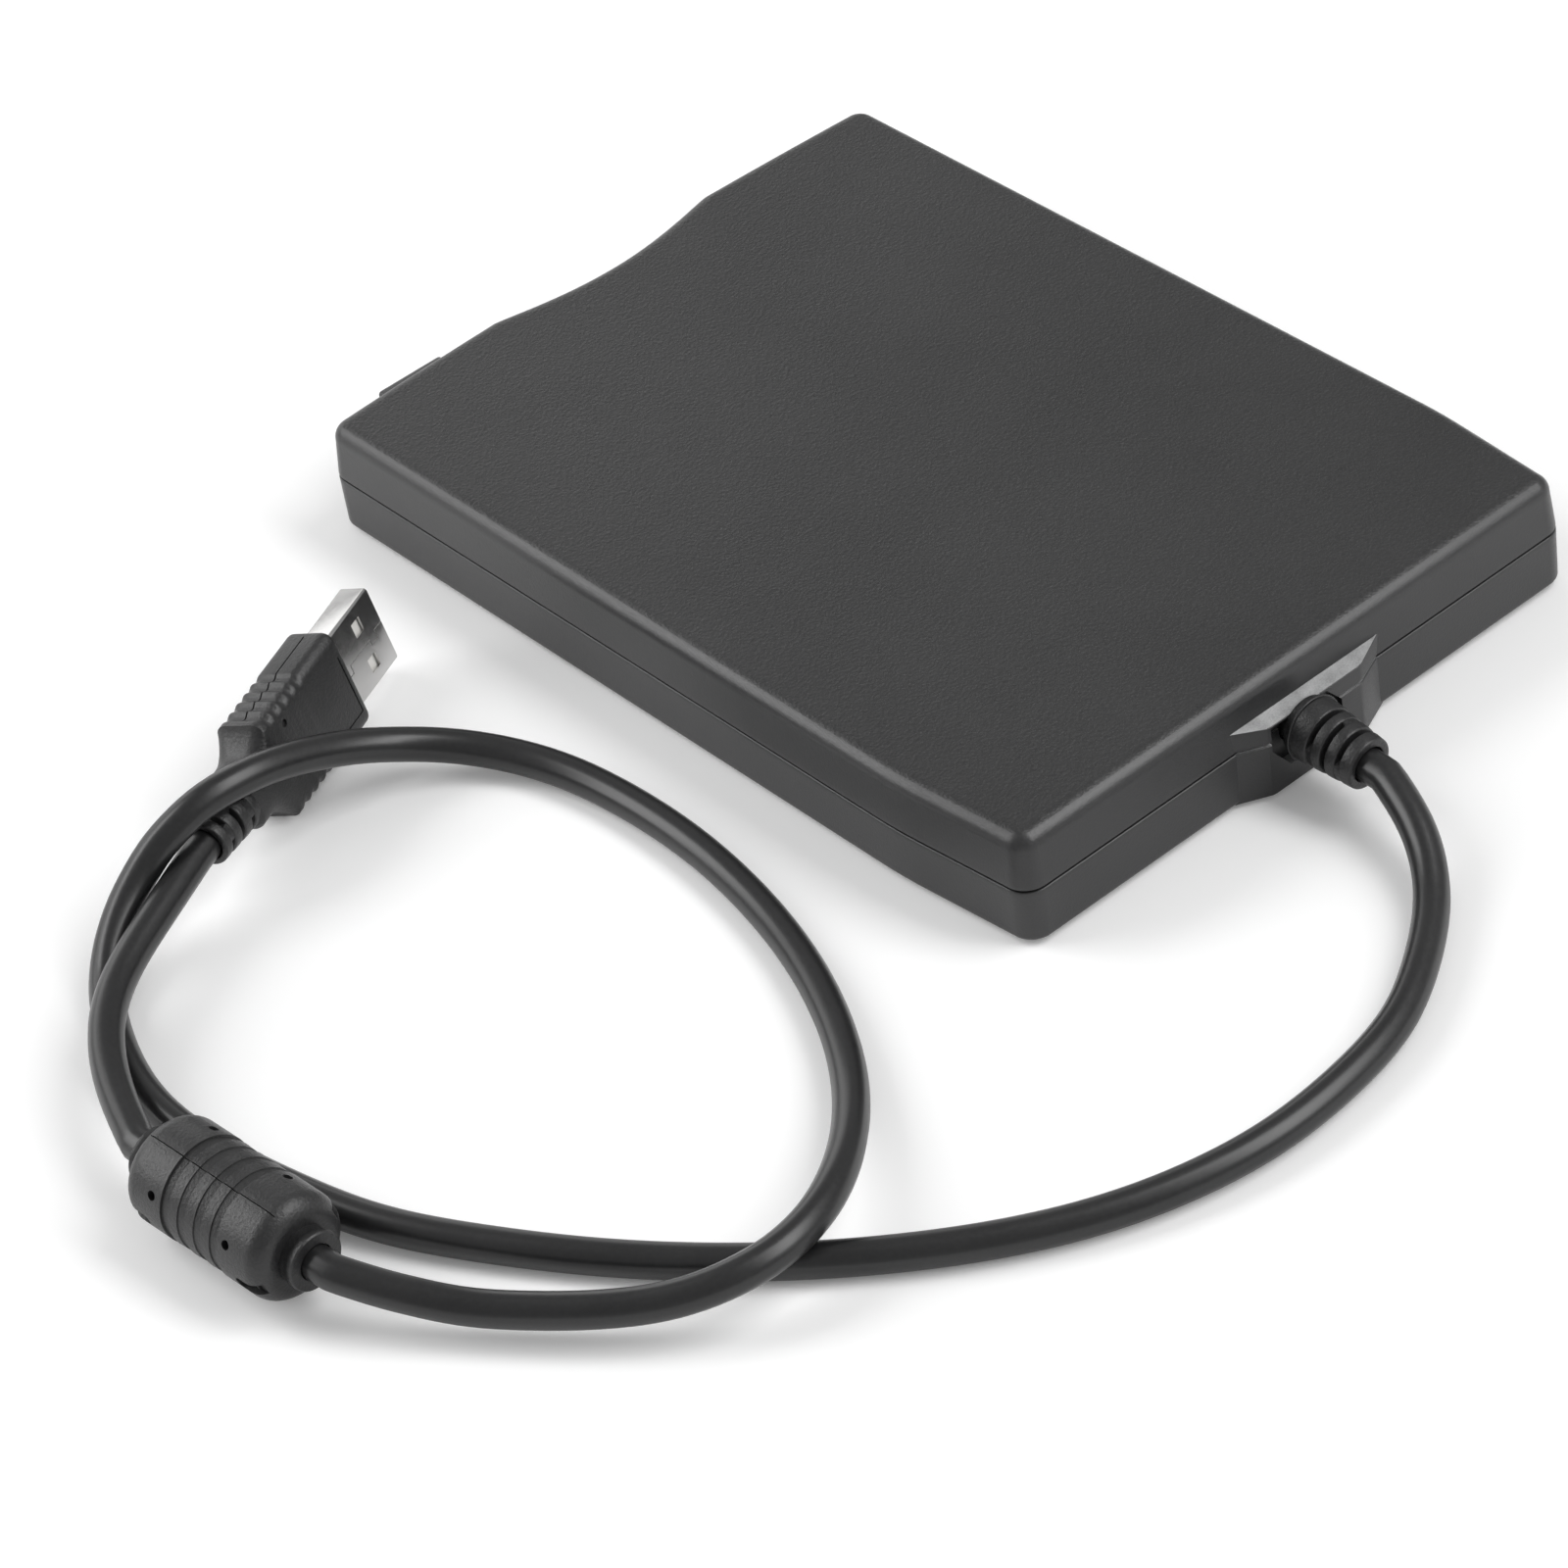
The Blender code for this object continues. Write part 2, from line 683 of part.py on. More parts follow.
def case_outline():
    """The case in plan, counter-clockwise from its front left corner."""
    side = HALF_WIDTH - CORNER_RADIUS
    left = SCOOP_CENTRE - SCOOP_HALF_WIDTH
    right = SCOOP_CENTRE + SCOOP_HALF_WIDTH
    line = even_steps(-side, left, WING_STEPS)
    line += even_steps(left, right, SCOOP_POINTS)
    line += even_steps(right, side, WING_STEPS) + [side]
    points = [(x, front_line(x)) for x in line]
    front_centre = front_line(side) + CORNER_RADIUS
    points += arc((side, front_centre), CORNER_RADIUS, -90.0, 0.0, CORNER_STEPS)[1:]
    points.append((HALF_WIDTH, REAR_WALL - TAPER_LENGTH))
    rear_half = half_width(REAR_WALL - CORNER_RADIUS)
    rear_centre = REAR_WALL - CORNER_RADIUS
    corner = rear_half - CORNER_RADIUS
    points += arc((corner, rear_centre), CORNER_RADIUS, 0.0, 90.0, CORNER_STEPS)
    points += arc((-corner, rear_centre), CORNER_RADIUS, 90.0, 180.0, CORNER_STEPS)
    points.append((-HALF_WIDTH, REAR_WALL - TAPER_LENGTH))
    points += arc((-side, front_centre), CORNER_RADIUS, 180.0, 270.0, CORNER_STEPS)[:-1]
    return points


def case_shell(rim, crown, draft, fillet):
    """An open tray from its rim over a filleted edge to its flat crown, and back inside."""
    outline = case_outline()
    up = 1.0 if crown > rim else -1.0
    outer = [(rim, 0.0)]
    for i in range(FILLET_STEPS + 1):
        angle = math.radians(90.0 * i / FILLET_STEPS)
        height = crown - up * fillet * (1.0 - math.sin(angle))
        outer.append((height, draft + fillet * (1.0 - math.cos(angle))))
    inner = [(rim, CASE_WALL), (crown - up * CASE_WALL, CASE_WALL + draft)]
    shape = bmesh.new()
    levels = []
    for height, depth in outer + inner[::-1]:
        ring = [(x, y, height) for x, y in inset(outline, depth)]
        levels.append([shape.verts.new(point) for point in ring])
    count = len(outline)
    last_outer = len(outer) - 1
    for k in range(len(levels)):
        lower = levels[k]
        upper = levels[(k + 1) % len(levels)]
        if k == last_outer:
            shape.faces.new(lower)
            shape.faces.new(upper)
            continue
        for i in range(count):
            j = (i + 1) % count
            shape.faces.new((lower[i], lower[j], upper[j], upper[i]))
    return shape


def rear_boss(low, high):
    """The raised pad on the rear wall round the cord's exit, sloped at its sides."""
    root = REAR_WALL - CASE_WALL / 2
    outline = [
        (-BOSS_ROOT_LEFT, root),
        (BOSS_ROOT_RIGHT, root),
        (BOSS_ROOT_RIGHT, REAR_WALL),
        (BOSS_FACE_RIGHT, BOSS_FACE),
        (-BOSS_FACE_LEFT, BOSS_FACE),
        (-BOSS_ROOT_LEFT, REAR_WALL),
    ]
    return prism(outline, low, high)


def rear_cuts():
    """The recess for the strain relief's flange, and the hole for its neck."""
    top = BOSS_LEDGE - RECESS_LIP
    recess = block(
        (RECESS_CENTRE - RECESS_WIDTH / 2, BOSS_FACE - RECESS_DEPTH, top - RECESS_HEIGHT),
        (RECESS_CENTRE + RECESS_WIDTH / 2, BOSS_FACE + OVERRUN, top),
    )
    radius = RELIEF_NECK_RADIUS + SEAT_GAP
    start = REAR_WALL - CASE_WALL - OVERRUN
    neck = rod((RELIEF_X, RELIEF_Z), radius, start, BOSS_FACE + OVERRUN, "Y")
    return recess, neck


def slot_cut():
    return block(
        (-SLOT_HALF, FRONT_CROWN - OVERRUN, SLOT_BOTTOM),
        (SLOT_HALF, DOOR_FRONT, SLOT_TOP),
    )


def pillar_places():
    front_x = HALF_WIDTH - PILLAR_FRONT_SIDE_INSET
    rear_x = HALF_WIDTH - PILLAR_REAR_SIDE_INSET
    front_y = FRONT_CROWN + PILLAR_FRONT_INSET
    rear_y = REAR_WALL - PILLAR_REAR_INSET
    return [(front_x, front_y), (-front_x, front_y), (rear_x, rear_y), (-rear_x, rear_y)]


def foot_places():
    x = HALF_WIDTH - FOOT_SIDE_INSET
    front_y = FRONT_CROWN + FOOT_FRONT_INSET
    rear_y = REAR_WALL - FOOT_REAR_INSET
    return [(x, front_y), (-x, front_y), (x, rear_y), (-x, rear_y)]


def post_places():
    """Posts under the interface board's corners."""
    x, y = interface_centre()
    dx = INTERFACE_WIDTH / 2 - POST_INSET
    dy = INTERFACE_DEPTH / 2 - POST_INSET
    return [(x + sx * dx, y + sy * dy) for sx in (-1, 1) for sy in (-1, 1)]


def interface_centre():
    y = REAR_WALL - CASE_WALL - 2 * SEAT_GAP - INTERFACE_DEPTH / 2
    return -INTERFACE_MIDDLE_GAP - INTERFACE_WIDTH / 2, y


INTERFACE_WIDTH = HALF_WIDTH - INTERFACE_SIDE_INSET - INTERFACE_MIDDLE_GAP
SCREW_BORE_RADIUS = SCREW_SHANK_RADIUS + SEAT_GAP
BUTTON_CENTRE = HALF_WIDTH - BUTTON_SIDE_INSET
LENS_CENTRE = LENS_SIDE_INSET - HALF_WIDTH
BUTTON_TOP = CASE_TOP - BUTTON_TOP_DROP
BUTTON_MIDDLE = BUTTON_TOP - BUTTON_HEIGHT / 2


def pillar(place, low, high):
    return rod(place, PILLAR_RADIUS, low, high, steps=SMALL_STEPS)


def screw_bore(place, high):
    return rod(place, SCREW_BORE_RADIUS, CASE_BOTTOM - OVERRUN, high, steps=SMALL_STEPS)


def front_window(centre, width, height, clearance):
    """A cutter through the front wall for a piece at the button's level."""
    x = width / 2 + clearance
    z = height / 2 + clearance
    low = (centre - x, FRONT_CROWN - OVERRUN, BUTTON_MIDDLE - z)
    return block(low, (centre + x, DOOR_FRONT - OVERRUN / 2, BUTTON_MIDDLE + z))


def top_cover():
    shape = case_shell(UPPER_RIM, CASE_TOP, TOP_DRAFT, TOP_FILLET)
    cover = piece("top_cover", shape, "black_abs")
    fuse(cover, rear_boss(UPPER_RIM, BOSS_LEDGE), label="boss")
    pillars = [pillar(place, UPPER_RIM, CEILING + FUSE_DEPTH) for place in pillar_places()]
    fuse(cover, *pillars, label="pillars")
    ribs = []
    for side in (-1, 1):
        inner = side * (DOOR_HALF + RUNNING_GAP)
        outer = side * (HALF_WIDTH - CASE_WALL / 2 - TOP_DRAFT)
        half = DOOR_RIB_THICKNESS / 2
        low = (min(inner, outer), DOOR_AXIS[1] - half, DOOR_AXIS[2] - half)
        high = (max(inner, outer), DOOR_AXIS[1] + half, CEILING + FUSE_DEPTH)
        ribs.append(block(low, high))
    fuse(cover, *ribs, label="door_ribs")
    cut(cover, slot_cut(), label="slot")
    recess, neck = rear_cuts()
    cut(cover, recess, label="recess")
    cut(cover, neck, label="neck_hole")
    bore_top = CASE_BOTTOM + SCREW_SINK + SCREW_LENGTH + SEAT_GAP
    cut(cover, *[screw_bore(place, bore_top) for place in pillar_places()], label="screw_bores")
    reach = DOOR_HALF + DOOR_PIN_REACH + SEAT_GAP
    pin_bore = rod(DOOR_AXIS[1:], DOOR_PIN_RADIUS + RUNNING_GAP, -reach, reach, "X", SMALL_STEPS)
    cut(cover, pin_bore, label="door_pin_bore")
    button_hole = front_window(BUTTON_CENTRE, BUTTON_WIDTH, BUTTON_HEIGHT, RUNNING_GAP)
    lens_hole = front_window(LENS_CENTRE, LENS_WIDTH, LENS_HEIGHT, SEAT_GAP)
    cut(cover, button_hole, lens_hole, label="front_holes")
    return cover


def bottom_cover():
    shape = case_shell(LOWER_RIM, CASE_BOTTOM, BOTTOM_DRAFT, BOTTOM_FILLET)
    cover = piece("bottom_cover", shape, "black_abs")
    fuse(cover, rear_boss(CASE_BOTTOM, LOWER_RIM), label="boss")
    pillars = [pillar(place, FLOOR - FUSE_DEPTH, LOWER_RIM) for place in pillar_places()]
    post_top = FLOOR + INTERFACE_RISE - SEAT_GAP
    posts = [rod(p, POST_RADIUS, FLOOR - FUSE_DEPTH, post_top, steps=SMALL_STEPS) for p in post_places()]
    fuse(cover, *pillars, *posts, label="pillars")
    cut(cover, slot_cut(), label="slot")
    recess, neck = rear_cuts()
    cut(cover, recess, label="recess")
    cut(cover, neck, label="neck_hole")
    foot_top = CASE_BOTTOM + FOOT_SUNK
    sinks = [rod(p, FOOT_RADIUS + SEAT_GAP, CASE_BOTTOM - OVERRUN, foot_top) for p in foot_places()]
    seat = CASE_BOTTOM + SCREW_SINK
    head = SCREW_HEAD_RADIUS + SEAT_GAP
    heads = [rod(p, head, CASE_BOTTOM - OVERRUN, seat, steps=SMALL_STEPS) for p in pillar_places()]
    cut(cover, *sinks, *heads, label="sinks")
    cut(cover, *[screw_bore(place, SEAM + OVERRUN) for place in pillar_places()], label="screw_bores")
    return cover


def feet_and_screws():
    for i, (x, y) in enumerate(foot_places()):
        height = FOOT_PROUD + FOOT_SUNK - SEAT_GAP
        edge = FOOT_RADIUS - FOOT_PROUD / 2
        profile = [(0.0, 0.0), (edge, 0.0), (FOOT_RADIUS, FOOT_PROUD / 2)]
        foot = turned(profile + [(FOOT_RADIUS, height), (0.0, height)])
        piece("rubber_foot_%d" % (i + 1), move(foot, Matrix.Translation((x, y, 0.0))), "rubber")
    seat = CASE_BOTTOM + SCREW_SINK - SEAT_GAP
    for i, (x, y) in enumerate(pillar_places()):
        profile = [
            (0.0, seat - SCREW_HEAD_DEPTH),
            (SCREW_HEAD_RADIUS, seat - SCREW_HEAD_DEPTH),
            (SCREW_HEAD_RADIUS, seat),
            (SCREW_SHANK_RADIUS, seat),
            (SCREW_SHANK_RADIUS, seat + SCREW_LENGTH),
            (0.0, seat + SCREW_LENGTH),
        ]
        screw = turned(profile, SMALL_STEPS)
        piece("case_screw_%d" % (i + 1), move(screw, Matrix.Translation((x, y, 0.0))), "nickel")


def dust_door():
    y, z = DOOR_AXIS[1:]
    radius = DOOR_THICKNESS / 2
    bottom = SLOT_BOTTOM + RUNNING_GAP
    profile = [(y - radius, bottom), (y + radius, bottom)] + arc((y, z), radius, 0.0, 180.0, 6)
    shape = prism(profile, -DOOR_HALF, DOOR_HALF, "X")
    door = piece("dust_door", shape, "black_abs", DOOR_AXIS)
    reach = DOOR_HALF + DOOR_PIN_REACH
    fuse(door, rod((y, z), DOOR_PIN_RADIUS, -reach, reach, "X", SMALL_STEPS), label="pins")
    return door


def eject_button():
    front = FRONT_CROWN - BUTTON_PROUD
    rear = front + BUTTON_LENGTH
    outline = rounded_rectangle((BUTTON_CENTRE, BUTTON_MIDDLE), (BUTTON_WIDTH, BUTTON_HEIGHT), BUTTON_ROUND)
    rings = []
    face_inset = BUTTON_ROUND * BUTTON_FACE_SHARE
    for setback, depth in ((0.0, face_inset), (BUTTON_ROUND, 0.0), (rear - front, 0.0)):
        rings.append([(x, front + setback, z) for x, z in inset(outline, depth)])
    button = piece("eject_button", lofted(rings), "black_abs", (BUTTON_CENTRE, rear, BUTTON_MIDDLE))
    grip = block(
        (BUTTON_CENTRE - TAB_WIDTH / 2 - SEAT_GAP, rear - TAB_GRIP - SEAT_GAP, SLIDE_BOTTOM - SEAT_GAP),
        (BUTTON_CENTRE + TAB_WIDTH / 2 + SEAT_GAP, rear + OVERRUN, SLIDE_TOP + SEAT_GAP),
    )
    cut(button, grip, label="tab_slot")
    return button


def lens_and_lamp():
    front = front_line(LENS_CENTRE)
    size_z = LENS_HEIGHT / 2
    lens = block(
        (LENS_CENTRE - LENS_WIDTH / 2, front, BUTTON_MIDDLE - size_z),
        (LENS_CENTRE + LENS_WIDTH / 2, front + LENS_LENGTH, BUTTON_MIDDLE + size_z),
    )
    piece("led_lens", lens, "smoke_lens")
    lamp_front = front + LENS_LENGTH + SEAT_GAP
    lamp = block(
        (LENS_CENTRE - LENS_WIDTH / 2, lamp_front, BUTTON_MIDDLE - size_z),
        (LENS_CENTRE + LENS_WIDTH / 2, lamp_front + LAMP_LENGTH, COVER_BOTTOM - SEAT_GAP),
    )
    piece("led_lamp", lamp, "ivory_plastic")
    return lamp_front


# Frame, cover, disk holder and eject slide

GUIDE_PIN_LENGTH = HOLDER_SHEET + 2 * RUNNING_GAP + FRAME_SHEET
GUIDE_Z = (BAY_BOTTOM + BAY_TOP) / 2
HEAD_Y = SPINDLE_Y + FRAME_LENGTH * HEAD_RADIUS_SHARE
HEAD_TRAVEL = FRAME_LENGTH * HEAD_TRAVEL_SHARE
BRACKET_HALF_WIDTH = CARRIAGE_WIDTH / 2 + BRACKET_SIDE_ROOM + BRACKET_FOOT
ROD_Z = FRAME_DECK_TOP + ROD_RISE
LEAD_Z = FRAME_DECK_TOP + LEAD_RISE
BRACKET_FRONT = FRAME_REAR - BRACKET_SHEET - SEAT_GAP / 3
SUPPORT_FRONT = DISK_REAR + RUNNING_GAP
HINGE_Y = BRACKET_FRONT - CARRIAGE_ROOM - CARRIAGE_REAR_SHARE * CARRIAGE_DEPTH
SLIDE_CROSS = FRAME_LENGTH * SLIDE_CROSS_SHARE
SPRING_LENGTH = FRAME_LENGTH * SPRING_LENGTH_SHARE
SPRING_SIDE = FRAME_HALF * SPRING_SIDE_SHARE


def guide_pin_places():
    front = FRAME_FRONT + FRAME_LENGTH * GUIDE_PIN_FROM_FRONT_SHARE
    return [front, front + FRAME_LENGTH * GUIDE_PIN_SPACING_SHARE]


def switch_places():
    y = FRAME_FRONT + SWITCH_FROM_FRONT
    side = FRAME_HALF - SWITCH_SIDE_INSET
    return [(-side, y), (side, y)]


def drive_chassis():
    deck = block((-FRAME_HALF, FRAME_FRONT, FRAME_DECK), (FRAME_HALF, FRAME_REAR, FRAME_DECK_TOP))
    chassis = piece("drive_chassis", deck, "zinc_sheet")
    walls = []
    for side in (-1, 1):
        edges = sorted((side * (FRAME_HALF - FRAME_SHEET), side * FRAME_HALF))
        walls.append(block((edges[0], FRAME_FRONT, FRAME_FOOT), (edges[1], FRAME_REAR, FRAME_WALL_TOP)))
    fuse(chassis, *walls, label="walls")
    supports = []
    for x, z, radius in ((ROD_X, ROD_Z, ROD_RADIUS), (LEAD_X, LEAD_Z, LEAD_RADIUS)):
        reach = radius + RUNNING_GAP + TAB_THICKNESS
        low = (x - reach, SUPPORT_FRONT, FRAME_DECK_TOP - FUSE_DEPTH)
        supports.append(block(low, (x + reach, SUPPORT_FRONT + TAB_THICKNESS, z + reach)))
    fuse(chassis, *supports, label="rod_supports")
    below = FRAME_DECK - OVERRUN
    above = FRAME_DECK_TOP + OVERRUN
    window = rod((0.0, SPINDLE_Y), ROTOR_WINDOW_RADIUS, below, above, steps=FINE_STEPS)
    cut(chassis, window, label="rotor_window")
    openings = []
    for x, y in switch_places():
        size = (SWITCH_WIDTH + 2 * SEAT_GAP, SWITCH_DEPTH + 2 * SEAT_GAP, PLATE_SHEET + OVERRUN)
        openings.append(block_at((x, y, FRAME_DECK + PLATE_SHEET / 2), size))
    for x, z, radius in ((ROD_X, ROD_Z, ROD_RADIUS), (LEAD_X, LEAD_Z, LEAD_RADIUS)):
        start = SUPPORT_FRONT - OVERRUN
        end = SUPPORT_FRONT + TAB_THICKNESS + OVERRUN
        openings.append(rod((x, z), radius + RUNNING_GAP, start, end, "Y", SMALL_STEPS))
    cut(chassis, *openings, label="openings")
    guides = []
    half = GUIDE_PIN_RADIUS + RUNNING_GAP
    for y in guide_pin_places():
        outline = [(y - half, GUIDE_Z - HOLDER_DROP - half), (y + half, GUIDE_Z - HOLDER_DROP - half)]
        outline += arc((y, GUIDE_Z), half, 0.0, 180.0, 6)
        for side in (-1, 1):
            edges = sorted((side * (FRAME_HALF - FRAME_SHEET - OVERRUN / 2), side * (FRAME_HALF + OVERRUN)))
            guides.append(prism(outline, edges[0], edges[1], "X"))
    cut(chassis, *guides, label="pin_guides")
    return chassis


def drive_cover(lamp_front):
    plate = block((-FRAME_HALF, FRAME_FRONT, COVER_BOTTOM), (FRAME_HALF, FRAME_REAR, COVER_TOP))
    cover = piece("drive_cover", plate, "zinc_sheet")
    tongue = block(
        (LENS_CENTRE - LENS_WIDTH / 2, lamp_front, COVER_BOTTOM),
        (LENS_CENTRE + LENS_WIDTH / 2, FRAME_FRONT + FUSE_DEPTH, COVER_TOP),
    )
    fuse(cover, tongue, label="lamp_tongue")
    below = COVER_BOTTOM - OVERRUN
    above = COVER_TOP + OVERRUN
    window = rod((0.0, SPINDLE_Y), COVER_WINDOW_RADIUS, below, above, steps=FINE_STEPS)
    cut(cover, window, label="window")
    return cover


def disk_holder():
    lip = BAY_HALF - HOLDER_LIP
    half = [
        (lip, HOLDER_BOTTOM),
        (HOLDER_HALF, HOLDER_BOTTOM),
        (HOLDER_HALF, HOLDER_TOP),
    ]
    inside = [
        (-BAY_HALF, BAY_TOP),
        (-BAY_HALF, BAY_BOTTOM),
        (-lip, BAY_BOTTOM),
        (-lip, HOLDER_BOTTOM),
        (-HOLDER_HALF, HOLDER_BOTTOM),
        (-HOLDER_HALF, HOLDER_TOP),
    ]
    outline = [(lip, BAY_BOTTOM)] + half + inside[::-1] + [(BAY_HALF, BAY_TOP), (BAY_HALF, BAY_BOTTOM)]
    shape = prism(outline, FRAME_FRONT, HOLDER_REAR, "Y")
    holder = piece("disk_holder", shape, "zinc_sheet")
    pins = []
    for y in guide_pin_places():
        for side in (-1, 1):
            edges = sorted((side * (HOLDER_HALF - HOLDER_SHEET / 2), side * (HOLDER_HALF + GUIDE_PIN_LENGTH)))
            pins.append(rod((y, GUIDE_Z), GUIDE_PIN_RADIUS, edges[0], edges[1], "X", SMALL_STEPS))
    fuse(holder, *pins, label="guide_pins")
    window_half = ARM_WIDTH / 2 + ARM_WINDOW_MARGIN
    window_front = HEAD_Y - HEAD_TRAVEL - HEAD_SIZE
    window = block(
        (-window_half, window_front - ARM_WINDOW_MARGIN, BAY_TOP - SMALL_OVERRUN),
        (window_half, HOLDER_REAR + OVERRUN, HOLDER_TOP + OVERRUN),
    )
    cut(holder, window, label="head_window")
    half_slot = LEVER_PIN_RADIUS + RUNNING_GAP
    centre = lever_pivot()
    start = LEVER_REST_ANGLE - LEVER_SLOT_SPARE
    end = LEVER_REST_ANGLE + LEVER_SWING + LEVER_SLOT_SPARE
    band = arc(centre, LEVER_RADIUS + half_slot, start, end, LEVER_SLOT_STEPS)
    band += arc(centre, LEVER_RADIUS - half_slot, end, start, LEVER_SLOT_STEPS)
    cut(holder, prism(band, BAY_TOP - SMALL_OVERRUN, HOLDER_TOP + OVERRUN), label="lever_slot")
    return holder


def lever_pivot():
    behind = FRAME_LENGTH * LEVER_PIVOT_BEHIND_HUB_SHARE
    return -HOLDER_HALF * LEVER_PIVOT_SIDE_SHARE, SPINDLE_Y + behind


def slide_plate():
    front = FRAME_FRONT + SLIDE_SETBACK
    rear = front + FRAME_LENGTH * SLIDE_LENGTH_SHARE
    outer = HOLDER_HALF + RUNNING_GAP + SLIDE_SHEET
    inner = HOLDER_HALF + RUNNING_GAP
    foot = SLIDE_TOP - SLIDE_SKIRT
    outline = [
        (-outer, foot),
        (-inner, foot),
        (-inner, SLIDE_BOTTOM),
        (inner, SLIDE_BOTTOM),
        (inner, foot),
        (outer, foot),
        (outer, SLIDE_TOP),
        (-outer, SLIDE_TOP),
    ]
    shape = prism(outline, front, rear, "Y")
    origin = (0.0, front, SLIDE_TOP)
    slide = piece("slide_plate", shape, "zinc_sheet", origin)
    button_rear = FRONT_CROWN - BUTTON_PROUD + BUTTON_LENGTH
    tab = block(
        (BUTTON_CENTRE - TAB_WIDTH / 2, button_rear - TAB_GRIP, SLIDE_BOTTOM),
        (BUTTON_CENTRE + TAB_WIDTH / 2, front + FUSE_DEPTH, SLIDE_TOP),
    )
    fuse(slide, tab, label="button_tab")
    middle = outer - SLIDE_RAIL_WIDTH
    low = SLIDE_BOTTOM - SMALL_OVERRUN
    high = SLIDE_TOP + OVERRUN
    opening = block((-middle, front + SLIDE_CROSS, low), (middle, rear + OVERRUN, high))
    window = rod((0.0, front + SLIDE_CROSS / 2), SLIDE_CROSS / 4, low, high)
    cut(slide, opening, window, label="openings")
    half = GUIDE_PIN_RADIUS + RUNNING_GAP
    slots = []
    fall = math.degrees(math.atan2(HOLDER_DROP, BUTTON_TRAVEL))
    for y in guide_pin_places():
        outline = arc((y, GUIDE_Z), half, 90.0 - fall, 270.0 - fall, 6)
        outline += arc((y + BUTTON_TRAVEL, GUIDE_Z - HOLDER_DROP), half, 270.0 - fall, 450.0 - fall, 6)
        for side in (-1, 1):
            edges = sorted((side * (inner - SMALL_OVERRUN), side * (outer + OVERRUN)))
            slots.append(prism(outline, edges[0], edges[1], "X"))
    cut(slide, *slots, label="ramp_slots")
    return slide


SPRING_FRONT = FRAME_FRONT + SLIDE_SETBACK + SLIDE_CROSS + SEAT_GAP
SPRING_STEPS = 8


def coil_spring(name, start):
    """A coil spring along +Y, as a bevelled curve with filled caps."""
    wire = SPRING_WIRE_RADIUS
    radius = SPRING_RADIUS
    curve = bpy.data.curves.new(name, "CURVE")
    curve.dimensions = "3D"
    curve.bevel_depth = wire
    curve.bevel_resolution = 0
    curve.use_fill_caps = True
    spline = curve.splines.new("POLY")
    count = SPRING_TURNS * SPRING_STEPS + 1
    spline.points.add(count - 1)
    for i in range(count):
        angle = 2 * math.pi * i / SPRING_STEPS
        y = wire + (SPRING_LENGTH - 2 * wire) * i / (count - 1)
        spline.points[i].co = (radius * math.cos(angle), y, radius * math.sin(angle), 1.0)
    curve.materials.append(finish(name, "bright_steel"))
    thing = bpy.data.objects.new(name, curve)
    thing.location = start
    bpy.context.collection.objects.link(thing)
    return thing


def spring_bracket():
    """The standing crossbar under the cover whose two legs hold the springs' rear ends."""
    front = SPRING_FRONT + SPRING_LENGTH + SEAT_GAP
    top = COVER_BOTTOM - SEAT_GAP
    under = top - SPRING_BAR_HEIGHT
    foot = HOLDER_TOP + SEAT_GAP
    outer = SPRING_SIDE + SPRING_TAB_WIDTH / 2
    inner = SPRING_SIDE - SPRING_TAB_WIDTH / 2
    outline = [(-outer, top), (-outer, foot), (-inner, foot), (-inner, under)]
    outline += [(inner, under), (inner, foot), (outer, foot), (outer, top)]
    piece("spring_bracket", prism(outline, front, front + PLATE_SHEET, "Y"), "zinc_sheet")


def slide_springs():
    z = (SLIDE_BOTTOM + SLIDE_TOP) / 2
    for side, word in ((-1, "left"), (1, "right")):
        start = (side * SPRING_SIDE, SPRING_FRONT, z)
        coil_spring("slide_spring_" + word, start)


def shutter_lever():
    """The lever whose pin pushes the disk's shutter open, riveted to the holder."""
    x, y = lever_pivot()
    bottom = HOLDER_TOP + RUNNING_GAP
    top = bottom + PLATE_SHEET
    axis = empty("shutter_lever_axis", (x, y, bottom), (0.0, 0.0, math.radians(LEVER_REST_ANGLE)))
    half = LEVER_WIDTH / 2
    outline = arc((LEVER_RADIUS, 0.0), half, -90.0, 90.0, 8)
    spread = math.degrees(math.asin(half / LEVER_HUB_RADIUS))
    outline += arc((0.0, 0.0), LEVER_HUB_RADIUS, spread, 360.0 - spread, 14)
    lever = piece("shutter_lever", prism(outline, 0.0, top - bottom), "bright_steel")
    pin = rod((LEVER_RADIUS, 0.0), LEVER_PIN_RADIUS, -LEVER_PIN_LENGTH, PLATE_SHEET / 2, steps=SMALL_STEPS)
    lever.parent = axis
    hole = rod((0.0, 0.0), RIVET_RADIUS + RUNNING_GAP, -OVERRUN, OVERRUN, steps=SMALL_STEPS)
    for helper, work, label in ((pin, "UNION", "pin"), (hole, "DIFFERENCE", "rivet_hole")):
        boolean(lever, helper, work, label)
        lever.modifiers[label].object.parent = axis
    profile = [
        (0.0, HOLDER_TOP + SEAT_GAP / 2),
        (RIVET_RADIUS, HOLDER_TOP + SEAT_GAP / 2),
        (RIVET_RADIUS, top + RUNNING_GAP),
        (RIVET_HEAD_RADIUS, top + RUNNING_GAP),
        (RIVET_HEAD_RADIUS, top + RUNNING_GAP + RIVET_HEAD_DEPTH),
        (0.0, top + RUNNING_GAP + RIVET_HEAD_DEPTH),
    ]
    rivet = turned(profile, SMALL_STEPS)
    piece("shutter_lever_rivet", move(rivet, Matrix.Translation((x, y, 0.0))), "brass")


# Spindle motor

